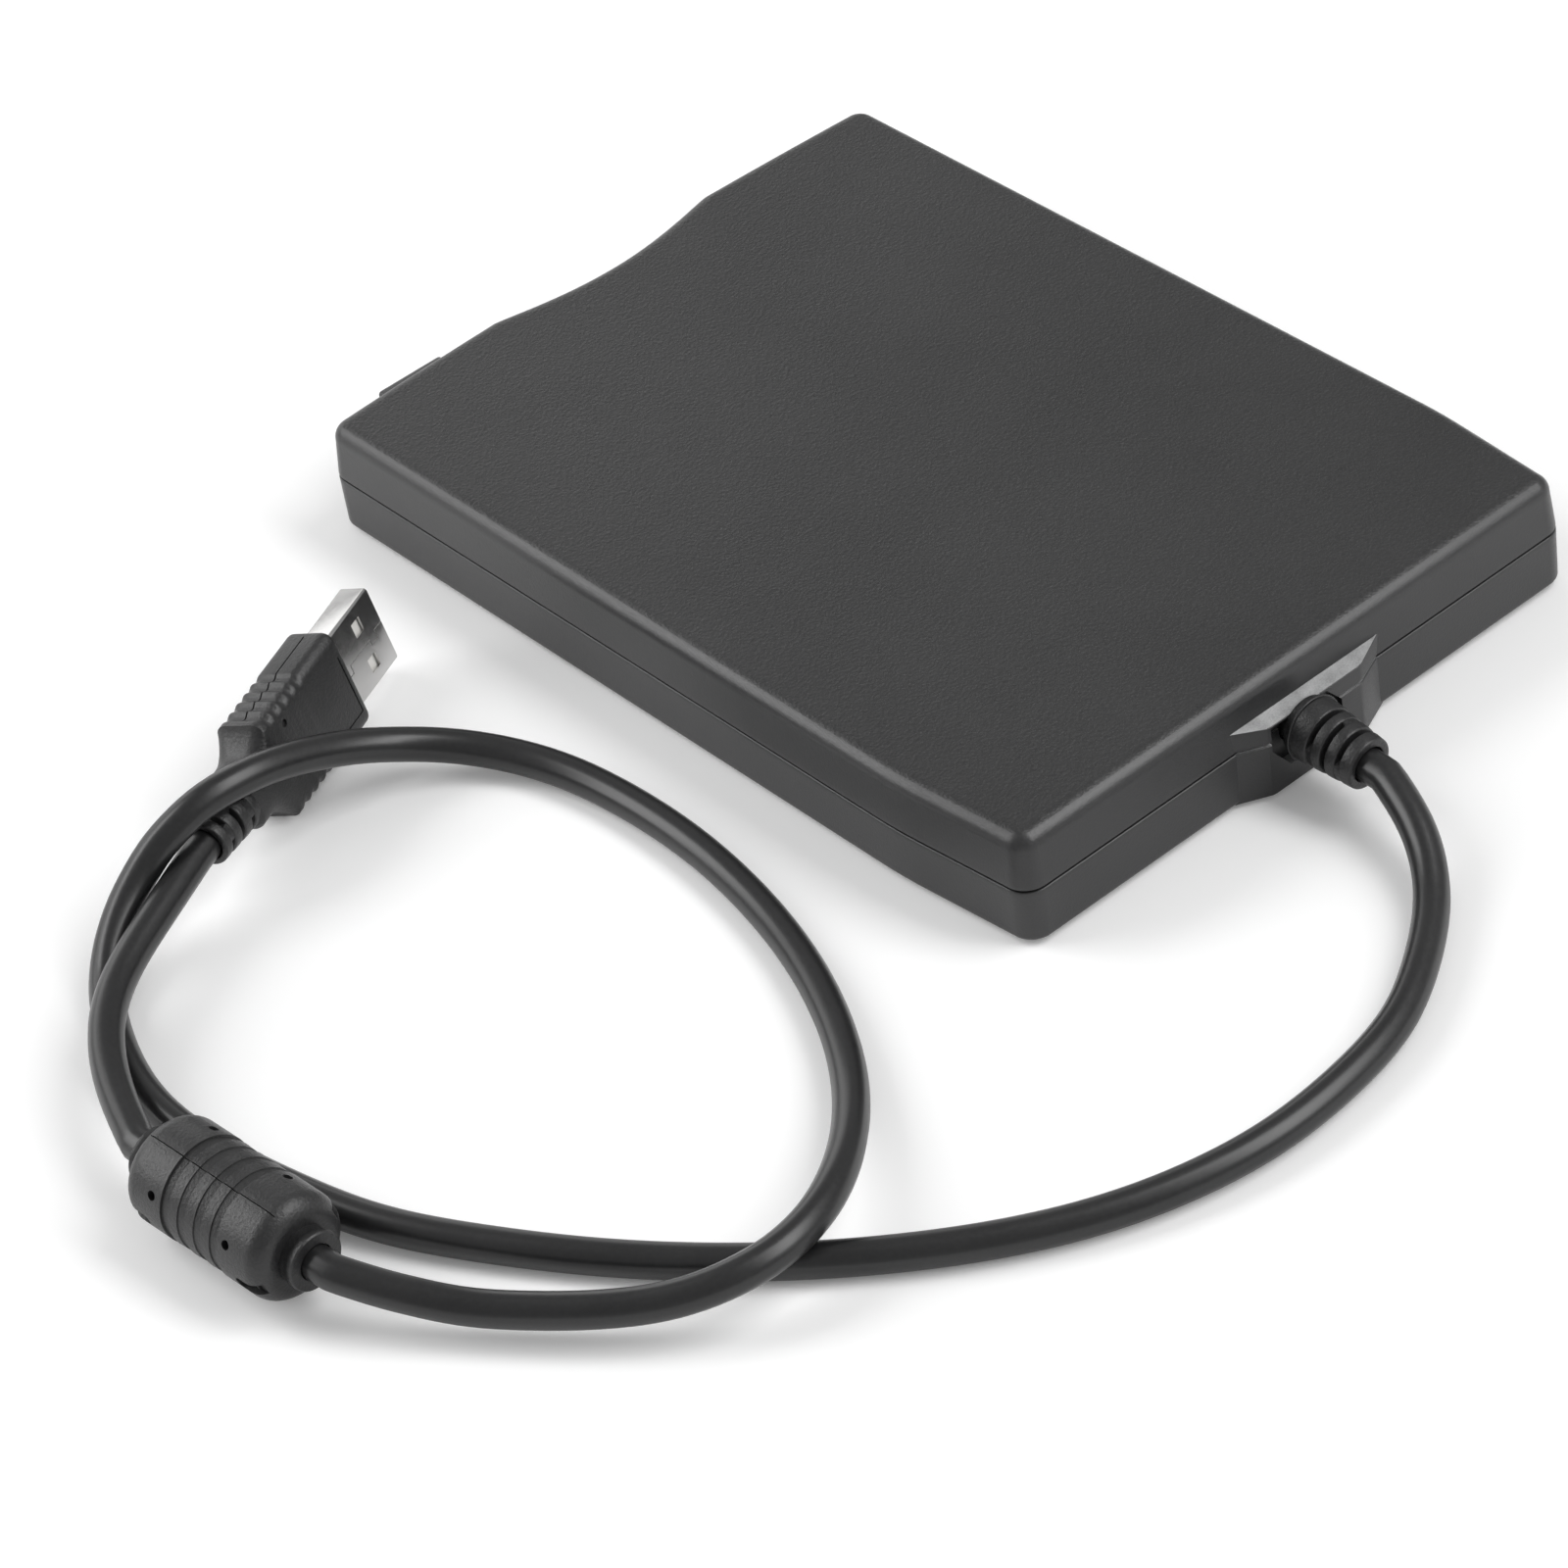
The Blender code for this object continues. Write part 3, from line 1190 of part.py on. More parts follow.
def motor_board():
    y = SPINDLE_Y
    size = (2 * FRAME_HALF * MOTOR_BOARD_WIDTH_SHARE, FRAME_LENGTH * MOTOR_BOARD_DEPTH_SHARE)
    outline = rounded_rectangle((0.0, y), size, CORNER_RADIUS)
    board = piece("motor_board", prism(outline, FRAME_FOOT, MOTOR_BOARD_TOP), "green_board")
    hole = rod((0.0, y), BEARING_RADIUS + SEAT_GAP, FRAME_FOOT - OVERRUN, MOTOR_BOARD_TOP + OVERRUN)
    cut(board, hole, label="bearing_hole")


def stator():
    """A flat ring with a pole at each coil's place."""
    points = []
    step = 360.0 / STATOR_POLES
    half = step * STATOR_POLE_SHARE / 2
    root = half * STATOR_TIP_RADIUS / STATOR_RING_RADIUS / 2
    for i in range(STATOR_POLES):
        middle = i * step
        for radius, angle in (
            (STATOR_RING_RADIUS, middle - root),
            (STATOR_TIP_RADIUS, middle - half),
            (STATOR_TIP_RADIUS, middle),
            (STATOR_TIP_RADIUS, middle + half),
            (STATOR_RING_RADIUS, middle + root),
        ):
            turn = math.radians(angle)
            points.append((radius * math.cos(turn), SPINDLE_Y + radius * math.sin(turn)))
    bottom = MOTOR_BOARD_TOP + SEAT_GAP
    core = piece("stator", prism(points, bottom, bottom + STATOR_DEPTH), "bright_steel")
    hole = rod((0.0, SPINDLE_Y), STATOR_INNER_RADIUS, bottom - OVERRUN, bottom + OVERRUN)
    cut(core, hole, label="middle")


def ring_profile(inner, outer, low, high):
    return [(inner, low), (outer, low), (outer, high), (inner, high)]


def spindle():
    place = Matrix.Translation((0.0, SPINDLE_Y, 0.0))
    axis = empty("spindle_axis", (0.0, SPINDLE_Y, 0.0))
    bore = SHAFT_RADIUS + RUNNING_GAP
    bearing_top = ROTOR_TOP - ROTOR_SHEET - RUNNING_GAP
    sleeve = ring_profile(bore, BEARING_RADIUS, FRAME_FOOT, bearing_top)
    piece("spindle_bearing", move(turned(sleeve), place), "brass")
    plate = ROTOR_TOP - ROTOR_SHEET
    rim = ROTOR_RADIUS - ROTOR_RIM
    cup = [
        (bore, plate),
        (rim, plate),
        (rim, ROTOR_BOTTOM),
        (ROTOR_RADIUS, ROTOR_BOTTOM),
        (ROTOR_RADIUS, ROTOR_TOP),
        (bore, ROTOR_TOP),
    ]
    rotor = piece("rotor_cup", move(turned(cup, FINE_STEPS), place), "zinc_sheet")
    outer = rim - SEAT_GAP
    top = plate - SEAT_GAP
    ring = ring_profile(outer - MAGNET_THICKNESS, outer, top - MAGNET_DEPTH, top)
    magnet = piece("rotor_magnet", move(turned(ring, FINE_STEPS), place), "ferrite_grey")
    table = [
        (0.0, FRAME_FOOT + SEAT_GAP),
        (SHAFT_RADIUS, FRAME_FOOT + SEAT_GAP),
        (SHAFT_RADIUS, TABLE_BOTTOM),
        (TABLE_RADIUS, TABLE_BOTTOM),
        (TABLE_RADIUS, TABLE_TOP),
        (SHAFT_RADIUS, TABLE_TOP),
        (SHAFT_RADIUS, TABLE_TOP + SHAFT_ABOVE_TABLE),
        (0.0, TABLE_TOP + SHAFT_ABOVE_TABLE),
    ]
    hub = piece("spindle_hub", move(turned(table, FINE_STEPS), place), "bright_steel")
    bottom = TABLE_TOP + SEAT_GAP
    pin_place = (DRIVE_PIN_REACH, SPINDLE_Y)
    pin = rod(pin_place, DRIVE_PIN_RADIUS, bottom, bottom + DRIVE_PIN_HEIGHT, steps=SMALL_STEPS)
    drive_pin = piece("drive_pin", pin, "bright_steel")
    hang(axis, rotor, magnet, hub, drive_pin)


# Heads and stepper

def head_carriage():
    """The carriage under and behind the disk, with the lower head, the lifting arm and its head."""
    bottom = FRAME_DECK_TOP + RUNNING_GAP
    hinge_y = HINGE_Y
    rear = hinge_y + CARRIAGE_REAR_SHARE * CARRIAGE_DEPTH
    front = rear - CARRIAGE_DEPTH
    top = bottom + CARRIAGE_HEIGHT
    axis = empty("head_carriage_axis", (0.0, HEAD_Y, bottom))
    body = block((-CARRIAGE_WIDTH / 2, front, bottom), (CARRIAGE_WIDTH / 2, rear, top))
    carriage = piece("head_carriage", body, "ivory_plastic")
    tip = HEAD_Y - HEAD_SIZE / 2 - ARM_TIP_BEYOND_HEAD
    arm_high = (ARM_WIDTH / 2, front + FUSE_DEPTH, bottom + LOWER_ARM_SHEET)
    lower_arm = block((-ARM_WIDTH / 2, tip, bottom), arm_high)
    hinge_z = top - ARM_HINGE_RISE + ARM_BARREL_RADIUS
    ear_radius = ARM_BARREL_RADIUS
    inner = ARM_WIDTH / 2 + RUNNING_GAP
    ears = []
    for side in (-1, 1):
        edges = sorted((side * inner, side * (inner + EAR_THICKNESS)))
        outline = arc((hinge_y, hinge_z), ear_radius, 0.0, 180.0, 8)
        outline += [(hinge_y - ear_radius, top - FUSE_DEPTH), (hinge_y + ear_radius, top - FUSE_DEPTH)]
        ears.append(prism(outline, edges[0], edges[1], "X"))
    lead_half = LEAD_RADIUS + RUNNING_GAP + TAB_THICKNESS
    nut_high = (CARRIAGE_WIDTH / 2, rear, LEAD_Z + lead_half - FUSE_DEPTH)
    nut = block((LEAD_X - lead_half, front, top - FUSE_DEPTH), nut_high)
    fuse(carriage, lower_arm, label="lower_arm")
    fuse(carriage, *ears, label="ears")
    fuse(carriage, nut, label="nut")
    pocket = block(
        (-inner, front - OVERRUN, bottom + LOWER_ARM_SHEET + POCKET_RISE),
        (inner, rear + OVERRUN, top + OVERRUN),
    )
    cut(carriage, pocket, label="arm_pocket")
    bores = [
        rod((ROD_X, ROD_Z), ROD_RADIUS + RUNNING_GAP, front - OVERRUN, rear + OVERRUN, "Y", SMALL_STEPS),
        rod((LEAD_X, LEAD_Z), LEAD_RADIUS + RUNNING_GAP, front - OVERRUN, rear + OVERRUN, "Y", SMALL_STEPS),
    ]
    cut(carriage, *bores, label="bores")
    reach = inner + EAR_THICKNESS
    hinge = (hinge_y, hinge_z)
    bore_end = reach + OVERRUN
    pin_bore = rod(hinge, ARM_PIN_RADIUS + RUNNING_GAP, -bore_end, bore_end, "X", SMALL_STEPS)
    cut(carriage, pin_bore, label="pin_bore")
    pin = rod(hinge, ARM_PIN_RADIUS, -reach, reach, "X", SMALL_STEPS)
    arm_pin = piece("arm_pin", pin, "bright_steel")
    head_low = bottom + LOWER_ARM_SHEET + SEAT_GAP
    centre_low = (0.0, HEAD_Y, head_low + LOWER_HEAD_HEIGHT / 2)
    head = block_at(centre_low, (HEAD_SIZE, HEAD_SIZE, LOWER_HEAD_HEIGHT))
    lower_head = piece("lower_head", head, "ferrite_grey")
    hang(axis, carriage, arm_pin, lower_head)
    upper_arm(hinge_y, hinge_z, tip, head_low + LOWER_HEAD_HEIGHT)


def arm_lift():
    """The angle about its hinge that raises the upper head clear of the disk."""
    return math.atan2(HEAD_LIFT, HINGE_Y - HEAD_Y)


def upper_arm(hinge_y, hinge_z, tip, lower_face):
    """The arm and head over the disk, modelled lowered and stored lifted about the hinge."""
    axis = empty("arm_hinge_axis", (0.0, hinge_y, hinge_z), (-arm_lift(), 0.0, 0.0))
    head_bottom = lower_face + HEAD_SLIT - hinge_z
    head_top = head_bottom + UPPER_HEAD_HEIGHT
    arm_bottom = head_top + SEAT_GAP
    arm_top = arm_bottom + ARM_SHEET
    outline = [
        (tip - hinge_y, arm_bottom),
        (-2 * ARM_BARREL_RADIUS, arm_bottom),
        (0.0, -ARM_BARREL_RADIUS),
    ]
    outline += arc((0.0, 0.0), ARM_BARREL_RADIUS, -60.0, 120.0, 8)
    outline += [(-3 * ARM_BARREL_RADIUS, arm_top), (tip - hinge_y, arm_top)]
    arm = piece("upper_head_arm", prism(outline, -ARM_WIDTH / 2, ARM_WIDTH / 2, "X"), "bright_steel")
    bore = rod((0.0, 0.0), ARM_PIN_RADIUS + RUNNING_GAP, -ARM_WIDTH, ARM_WIDTH, "X", SMALL_STEPS)
    boolean(arm, bore, "DIFFERENCE", "pin_bore")
    arm.modifiers["pin_bore"].object.parent = axis
    centre = (0.0, HEAD_Y - hinge_y, (head_bottom + head_top) / 2)
    head = piece("upper_head", block_at(centre, (HEAD_SIZE, HEAD_SIZE, UPPER_HEAD_HEIGHT)), "ferrite_grey")
    arm.parent = axis
    head.parent = axis


def rod_screw_and_stepper():
    end = BRACKET_FRONT + BRACKET_SHEET + SEAT_GAP
    start = SUPPORT_FRONT + SEAT_GAP / 3
    piece("guide_rod", rod((ROD_X, ROD_Z), ROD_RADIUS, start, end, "Y"), "bright_steel")
    motor_front = FRAME_REAR + SEAT_GAP
    profile = lead_profile(start, motor_front + LEAD_REACH)
    shape = turned(profile, SMALL_STEPS)
    place = along((LEAD_X, start, LEAD_Z), (0.0, 1.0, 0.0))
    piece("lead_screw", move(shape, place), "bright_steel", (LEAD_X, start, LEAD_Z))
    case = rod((LEAD_X, LEAD_Z), STEPPER_RADIUS, motor_front, motor_front + STEPPER_LENGTH, "Y", FINE_STEPS)
    motor = piece("stepper_motor", case, "zinc_sheet")
    depth = LEAD_REACH + SEAT_GAP
    bore_start = motor_front - OVERRUN
    bore = rod((LEAD_X, LEAD_Z), LEAD_RADIUS + RUNNING_GAP, bore_start, motor_front + depth, "Y", SMALL_STEPS)
    cut(motor, bore, label="shaft_bore")
    low = (-BRACKET_HALF_WIDTH, BRACKET_FRONT, FRAME_DECK_TOP + SEAT_GAP)
    high = (BRACKET_HALF_WIDTH, BRACKET_FRONT + BRACKET_SHEET, FRAME_DECK_TOP + BRACKET_HEIGHT)
    bracket = piece("stepper_bracket", block(low, high), "zinc_sheet")
    feet = []
    for side in (-1, 1):
        edges = sorted((side * BRACKET_HALF_WIDTH, side * (BRACKET_HALF_WIDTH - BRACKET_FOOT)))
        toe = BRACKET_FRONT - BRACKET_FOOT_LENGTH
        foot_high = (edges[1], BRACKET_FRONT + FUSE_DEPTH, low[2] + PLATE_SHEET)
        feet.append(block((edges[0], toe, low[2]), foot_high))
    fuse(bracket, *feet, label="feet")
    holes = []
    for x, z, radius in ((ROD_X, ROD_Z, ROD_RADIUS), (LEAD_X, LEAD_Z, LEAD_RADIUS)):
        before = BRACKET_FRONT - OVERRUN
        holes.append(rod((x, z), radius + RUNNING_GAP, before, FRAME_REAR + OVERRUN, "Y", SMALL_STEPS))
    cut(bracket, *holes, label="holes")


def lead_profile(start, end):
    """The lead screw's outline: a run of shallow thread rounds between plain ends."""
    length = end - start
    plain = TAB_THICKNESS + RUNNING_GAP
    tail = LEAD_REACH + BRACKET_SHEET + 3 * SEAT_GAP
    root = LEAD_RADIUS - LEAD_THREAD_DEPTH
    profile = [(0.0, 0.0), (LEAD_RADIUS, 0.0), (LEAD_RADIUS, plain)]
    turns = int((length - plain - tail) / LEAD_PITCH)
    for i in range(turns):
        base = plain + i * LEAD_PITCH
        for radius, share in zip((root, root, LEAD_RADIUS, LEAD_RADIUS), LEAD_THREAD_SHARES):
            profile.append((radius, base + share * LEAD_PITCH))
    profile += [(LEAD_RADIUS, length), (0.0, length)]
    return profile


# Boards, ribbon and switches

def board(name, centre, size, bottom, thickness):
    low = (centre[0] - size[0] / 2, centre[1] - size[1] / 2, bottom)
    high = (centre[0] + size[0] / 2, centre[1] + size[1] / 2, bottom + thickness)
    piece(name, block(low, high), "green_board")


def chip(name, place, size, bottom, height):
    body = block_at((place[0], place[1], bottom + height / 2), (size, size, height))
    piece(name, body, "chip_black")


def electronics():
    left = -FRAME_HALF + FRAME_SHEET + CONTROLLER_SIDE
    width = -BRACKET_HALF_WIDTH - BOARD_GAP - left
    depth = FRAME_LENGTH * CONTROLLER_DEPTH_SHARE
    controller = (left + width / 2, SUPPORT_FRONT + CONTROLLER_SIDE + depth / 2)
    bottom = FRAME_DECK_TOP + SEAT_GAP
    chip_place = (controller[0], controller[1] - CHIP_SIZE / 4)
    size = (width, depth)
    controller_top = bottom + BOARD_THICKNESS + SEAT_GAP
    board("controller_board", controller, size, bottom, BOARD_THICKNESS)
    chip("controller_chip", chip_place, CHIP_SIZE, controller_top, CHIP_HEIGHT)
    bridge = interface_centre()
    bridge_bottom = FLOOR + INTERFACE_RISE
    chip_place = (bridge[0] + INTERFACE_WIDTH / 8, bridge[1])
    size = (INTERFACE_WIDTH, INTERFACE_DEPTH)
    bridge_top = bridge_bottom + INTERFACE_THICKNESS + SEAT_GAP
    board("interface_board", bridge, size, bridge_bottom, INTERFACE_THICKNESS)
    chip("interface_chip", chip_place, BRIDGE_CHIP_SIZE, bridge_top, BRIDGE_CHIP_HEIGHT)
    crystal_x = bridge[0] + INTERFACE_WIDTH / 8 + BRIDGE_CHIP_SIZE
    radius = CRYSTAL_WIDTH / 2 * CRYSTAL_ROUND_SHARE
    outline = rounded_rectangle((crystal_x, bridge[1]), (CRYSTAL_WIDTH, CRYSTAL_LENGTH), radius)
    piece("crystal", prism(outline, bridge_top, bridge_top + CRYSTAL_HEIGHT), "bright_steel")
    rear_edge = controller[1] + depth / 2
    near = (controller[0], rear_edge - CONNECTOR_DEPTH / 2)
    far = (controller[0], bridge[1] - INTERFACE_DEPTH / 2 + CONNECTOR_DEPTH / 2 + SEAT_GAP)
    connectors = (("controller_connector", near, controller_top), ("interface_connector", far, bridge_top))
    for name, place, low in connectors:
        centre = (place[0], place[1], low + CONNECTOR_HEIGHT / 2)
        piece(name, block_at(centre, (CONNECTOR_WIDTH, CONNECTOR_DEPTH, CONNECTOR_HEIGHT)), "ivory_plastic")
    ribbon(near, controller_top, far, bridge_top)


def ribbon(near, near_low, far, far_low):
    """A flat cable that arches from the top of one connector to the other."""
    start = (near[1], near_low + CONNECTOR_HEIGHT + SEAT_GAP)
    end = (far[1], far_low + CONNECTOR_HEIGHT + SEAT_GAP)
    under = []
    over = []
    for i in range(RIBBON_STEPS + 1):
        share = i / RIBBON_STEPS
        swing = math.sin(math.pi * share)
        y = start[0] + (end[0] - start[0]) * share
        z = start[1] + (end[1] - start[1]) * share + RIBBON_ARCH * swing
        slope = RIBBON_ARCH * math.pi * math.cos(math.pi * share) / (end[0] - start[0])
        slope += (end[1] - start[1]) / (end[0] - start[0])
        normal = Vector((-slope, 1.0)).normalized() * RIBBON_THICKNESS
        under.append((y, z))
        over.append((y + normal.x, z + normal.y))
    x = near[0]
    strip = prism(under + over[::-1], x - RIBBON_WIDTH / 2, x + RIBBON_WIDTH / 2, "X")
    piece("ribbon_cable", strip, "ribbon_white")


def switches():
    """Two switch blocks by the slot, with the plungers that feel for the disk and its notches."""
    names = {-1: [("write_protect_plunger", -1), ("disk_in_plunger", 1)], 1: [("density_plunger", -1)]}
    top = FRAME_FOOT + SWITCH_HEIGHT
    for side, (x, y) in zip((-1, 1), switch_places()):
        low = (x - SWITCH_WIDTH / 2, y - SWITCH_DEPTH / 2, FRAME_FOOT)
        high = (x + SWITCH_WIDTH / 2, y + SWITCH_DEPTH / 2, top)
        word = "left" if side < 0 else "right"
        switch = piece("sensor_switch_" + word, block(low, high), "grey_plastic")
        bores = []
        for name, row in names[side]:
            place = (x + side * PLUNGER_OFFSET / 2, y + row * PLUNGER_OFFSET)
            rest_top = DISK_LOW + PLUNGER_TRAVEL * PLUNGER_PROUD_SHARE
            low_end = rest_top - PLUNGER_LENGTH
            pin = rod(place, PLUNGER_RADIUS, low_end, rest_top, steps=SMALL_STEPS)
            piece(name, pin, "ivory_plastic", (place[0], place[1], low_end))
            floor = low_end - PLUNGER_TRAVEL - RUNNING_GAP
            bores.append(rod(place, PLUNGER_RADIUS + RUNNING_GAP, floor, top + OVERRUN, steps=SMALL_STEPS))
        cut(switch, *bores, label="bores")


# Strain relief

def relief_direction():
    fall = math.radians(RELIEF_SLOPE)
    return Vector((0.0, math.cos(fall), -math.sin(fall)))


def relief_end():
    start = Vector((RELIEF_X, BOSS_FACE + RELIEF_FLANGE_DEPTH, RELIEF_Z))
    return start + relief_direction() * RELIEF_LENGTH


def slotted_taper(start_radius, end_radius, length, rings):
    """Points of a tapering sleeve with deep grooves between its rings."""
    profile = []
    pitch = length / rings
    for i in range(rings):
        base = i * pitch
        for share, deep in ((0.0, False), (RELIEF_RING_SHARE, False), (RELIEF_RING_SHARE, True), (1.0, True)):
            if deep and i == rings - 1:
                continue
            height = base + share * pitch
            radius = start_radius + (end_radius - start_radius) * height / length
            profile.append((radius * (RELIEF_CORE_SHARE if deep else 1.0), height))
    profile.append((end_radius, length))
    return profile


def bridges(start_radius, length, rings, place):
    """The webs that join ring to ring, a quarter turn on at each groove."""
    webs = []
    pitch = length / rings
    for i in range(rings - 1):
        height = (i + 1) * pitch - (1.0 - RELIEF_RING_SHARE) * pitch / 2
        depth = (1.0 - RELIEF_RING_SHARE) * pitch + 2 * FUSE_DEPTH
        width = start_radius * RELIEF_WEB_SHARE
        span = 2 * start_radius * RELIEF_SPAN_SHARE
        size = (span, width, depth) if i % 2 == 0 else (width, span, depth)
        webs.append(move(block_at((0.0, 0.0, height), size), place))
    return webs


def strain_relief():
    start = BOSS_FACE + RELIEF_FLANGE_DEPTH
    sleeve = slotted_taper(RELIEF_COLLAR_RADIUS, RELIEF_END_RADIUS, RELIEF_LENGTH, RELIEF_RINGS)
    place = along((RELIEF_X, start, RELIEF_Z), relief_direction())
    base = [(0.0, -FUSE_DEPTH), (RELIEF_COLLAR_RADIUS, -FUSE_DEPTH)]
    shape = turned(base + sleeve[1:] + [(0.0, RELIEF_LENGTH)])
    relief = piece("strain_relief", move(shape, place), "black_pvc")
    webs = bridges(RELIEF_COLLAR_RADIUS, RELIEF_LENGTH, RELIEF_RINGS, place)
    fuse(relief, *webs, label="webs")
    inside = REAR_WALL - CASE_WALL - SEAT_GAP
    neck = [
        (0.0, inside - RELIEF_ANCHOR_DEPTH),
        (RELIEF_ANCHOR_RADIUS, inside - RELIEF_ANCHOR_DEPTH),
        (RELIEF_ANCHOR_RADIUS, inside),
        (RELIEF_NECK_RADIUS, inside),
        (RELIEF_NECK_RADIUS, start - RELIEF_FLANGE_DEPTH),
        (RELIEF_FLANGE_RADIUS, start - RELIEF_FLANGE_DEPTH),
        (RELIEF_FLANGE_RADIUS, start),
        (0.0, start),
    ]
    stem = move(turned(neck), along((RELIEF_X, 0.0, RELIEF_Z), (0.0, 1.0, 0.0)))
    fuse(relief, stem, label="stem")


# Cords

def smooth_route(points, step):
    """Points at an even pitch on a smooth curve through the route's points."""
    fine = []
    padded = [2 * points[0] - points[1]] + points + [2 * points[-1] - points[-2]]
    for a, b, c, d in zip(padded, padded[1:], padded[2:], padded[3:]):
        for i in range(SPLINE_SAMPLES):
            t = i / SPLINE_SAMPLES
            lead = (c - a) * 0.5
            trail = (d - b) * 0.5
            fine.append(
                b * (2 * t ** 3 - 3 * t ** 2 + 1)
                + lead * (t ** 3 - 2 * t ** 2 + t)
                + c * (3 * t ** 2 - 2 * t ** 3)
                + trail * (t ** 3 - t ** 2)
            )
    fine.append(points[-1])
    lengths = [0.0]
    for before, after in zip(fine, fine[1:]):
        lengths.append(lengths[-1] + (after - before).length)
    count = max(2, round(lengths[-1] / step))
    even = []
    k = 0
    for i in range(count):
        target = lengths[-1] * i / count
        while lengths[k + 1] < target:
            k += 1
        share = (target - lengths[k]) / (lengths[k + 1] - lengths[k])
        even.append(fine[k].lerp(fine[k + 1], share))
    even.append(points[-1])
    return even


def cord(name, start, start_direction, route, end, end_direction):
    """A cord from face to face, leaving and arriving square to each face."""
    straight = 2 * CORD_RADIUS
    first = start + start_direction * SEAT_GAP
    last = end - end_direction * SEAT_GAP
    points = [first + start_direction * straight]
    points += [Vector(point) for point in route]
    points.append(last - end_direction * straight)
    path = [first] + smooth_route(points, CORD_STEP) + [last]
    curve = bpy.data.curves.new(name, "CURVE")
    curve.dimensions = "3D"
    curve.bevel_depth = CORD_RADIUS
    curve.bevel_resolution = 2
    curve.use_fill_caps = True
    spline = curve.splines.new("POLY")
    spline.points.add(len(path) - 1)
    for target, point in zip(spline.points, path):
        target.co = (*point, 1.0)
    curve.materials.append(finish(name, "black_pvc"))
    thing = bpy.data.objects.new(name, curve)
    bpy.context.collection.objects.link(thing)
    return thing


def cords():
    bead_start = Vector(BEAD_START)
    bead_end = Vector(BEAD_END)
    bead_way = (bead_end - bead_start).normalized()
    reach = BEAD_BODY_LENGTH / 2 + BEAD_COLLAR_LENGTH
    middle = (bead_start + bead_end) / 2
    cord("cord", relief_end(), relief_direction(), CORD_ROUTE, middle - bead_way * reach, bead_way)
    tail = PLUG_LENGTH + PLUG_NECK_LENGTH + PLUG_TAIL_LENGTH
    plug_way = plug_frame().to_3x3() @ Vector((0.0, 0.0, 1.0))
    plug_end = plug_frame() @ Vector((0.0, 0.0, -tail))
    cord("plug_cord", middle + bead_way * reach, bead_way, PLUG_ROUTE, plug_end, plug_way)


def ferrite_bead():
    start = Vector(BEAD_START)
    end = Vector(BEAD_END)
    middle = (start + end) / 2
    place = along(middle, end - start)
    half = BEAD_BODY_LENGTH / 2
    reach = half + BEAD_COLLAR_LENGTH
    outer = [(BEAD_BORE_RADIUS, -reach), (BEAD_COLLAR_RADIUS, -reach), (BEAD_COLLAR_RADIUS, -half)]
    for i in range(BEAD_ROUND_STEPS + 1):
        angle = math.radians(90.0 * i / BEAD_ROUND_STEPS)
        radius = BEAD_RADIUS - BEAD_ROUND * (1.0 - math.sin(angle))
        outer.append((radius, -half + BEAD_ROUND * (1.0 - math.cos(angle))))
    first_band = -(BEAD_BANDS - 1) * BEAD_BAND_PITCH / 2
    for i in range(BEAD_BANDS):
        centre = first_band + i * BEAD_BAND_PITCH
        for sign, depth in ((-1, 0.0), (-1, BEAD_BAND_DEPTH), (1, BEAD_BAND_DEPTH), (1, 0.0)):
            outer.append((BEAD_RADIUS - depth, centre + sign * BEAD_BAND_WIDTH / 2))
    for i in range(BEAD_ROUND_STEPS, -1, -1):
        angle = math.radians(90.0 * i / BEAD_ROUND_STEPS)
        radius = BEAD_RADIUS - BEAD_ROUND * (1.0 - math.sin(angle))
        outer.append((radius, half - BEAD_ROUND * (1.0 - math.cos(angle))))
    outer += [(BEAD_COLLAR_RADIUS, half), (BEAD_COLLAR_RADIUS, reach), (BEAD_BORE_RADIUS, reach)]
    room = CORE_LENGTH / 2 + SEAT_GAP
    hollow = CORE_RADIUS + SEAT_GAP
    inner = [(BEAD_BORE_RADIUS, room), (hollow, room), (hollow, -room), (BEAD_BORE_RADIUS, -room)]
    piece("ferrite_overmold", move(turned(outer + inner), place), "black_pvc")
    core = [
        (CORE_BORE_RADIUS, -CORE_LENGTH / 2),
        (CORE_RADIUS, -CORE_LENGTH / 2),
        (CORE_RADIUS, CORE_LENGTH / 2),
        (CORE_BORE_RADIUS, CORE_LENGTH / 2),
    ]
    piece("ferrite_core", move(turned(core), place), "ferrite_grey")


# Plug

def plug_frame():
    """X across the thickness, Y across the width, Z towards the tip, from the mould's front face."""
    heading = math.radians(PLUG_HEADING)
    lean = math.radians(PLUG_LEAN)
    tip = Vector((math.cos(heading), math.sin(heading), 0.0))
    side = Vector((-tip.y, tip.x, 0.0))
    wide = Vector((0.0, 0.0, 1.0)) * math.cos(lean) + side * math.sin(lean)
    thick = wide.cross(tip)
    half_wide = PLUG_WIDTH / 2 - PLUG_CORNER
    half_thick = PLUG_THICKNESS / 2 - PLUG_CORNER
    height = half_wide * math.cos(lean) + half_thick * math.sin(lean) + PLUG_CORNER
    turn = Matrix((thick, wide, tip)).transposed().to_4x4()
    return Matrix.Translation((PLUG_X, PLUG_Y, height)) @ turn


def plug_ring(size, radius, height):
    return [(x, y, height) for x, y in rounded_rectangle((0.0, 0.0), size, radius)]


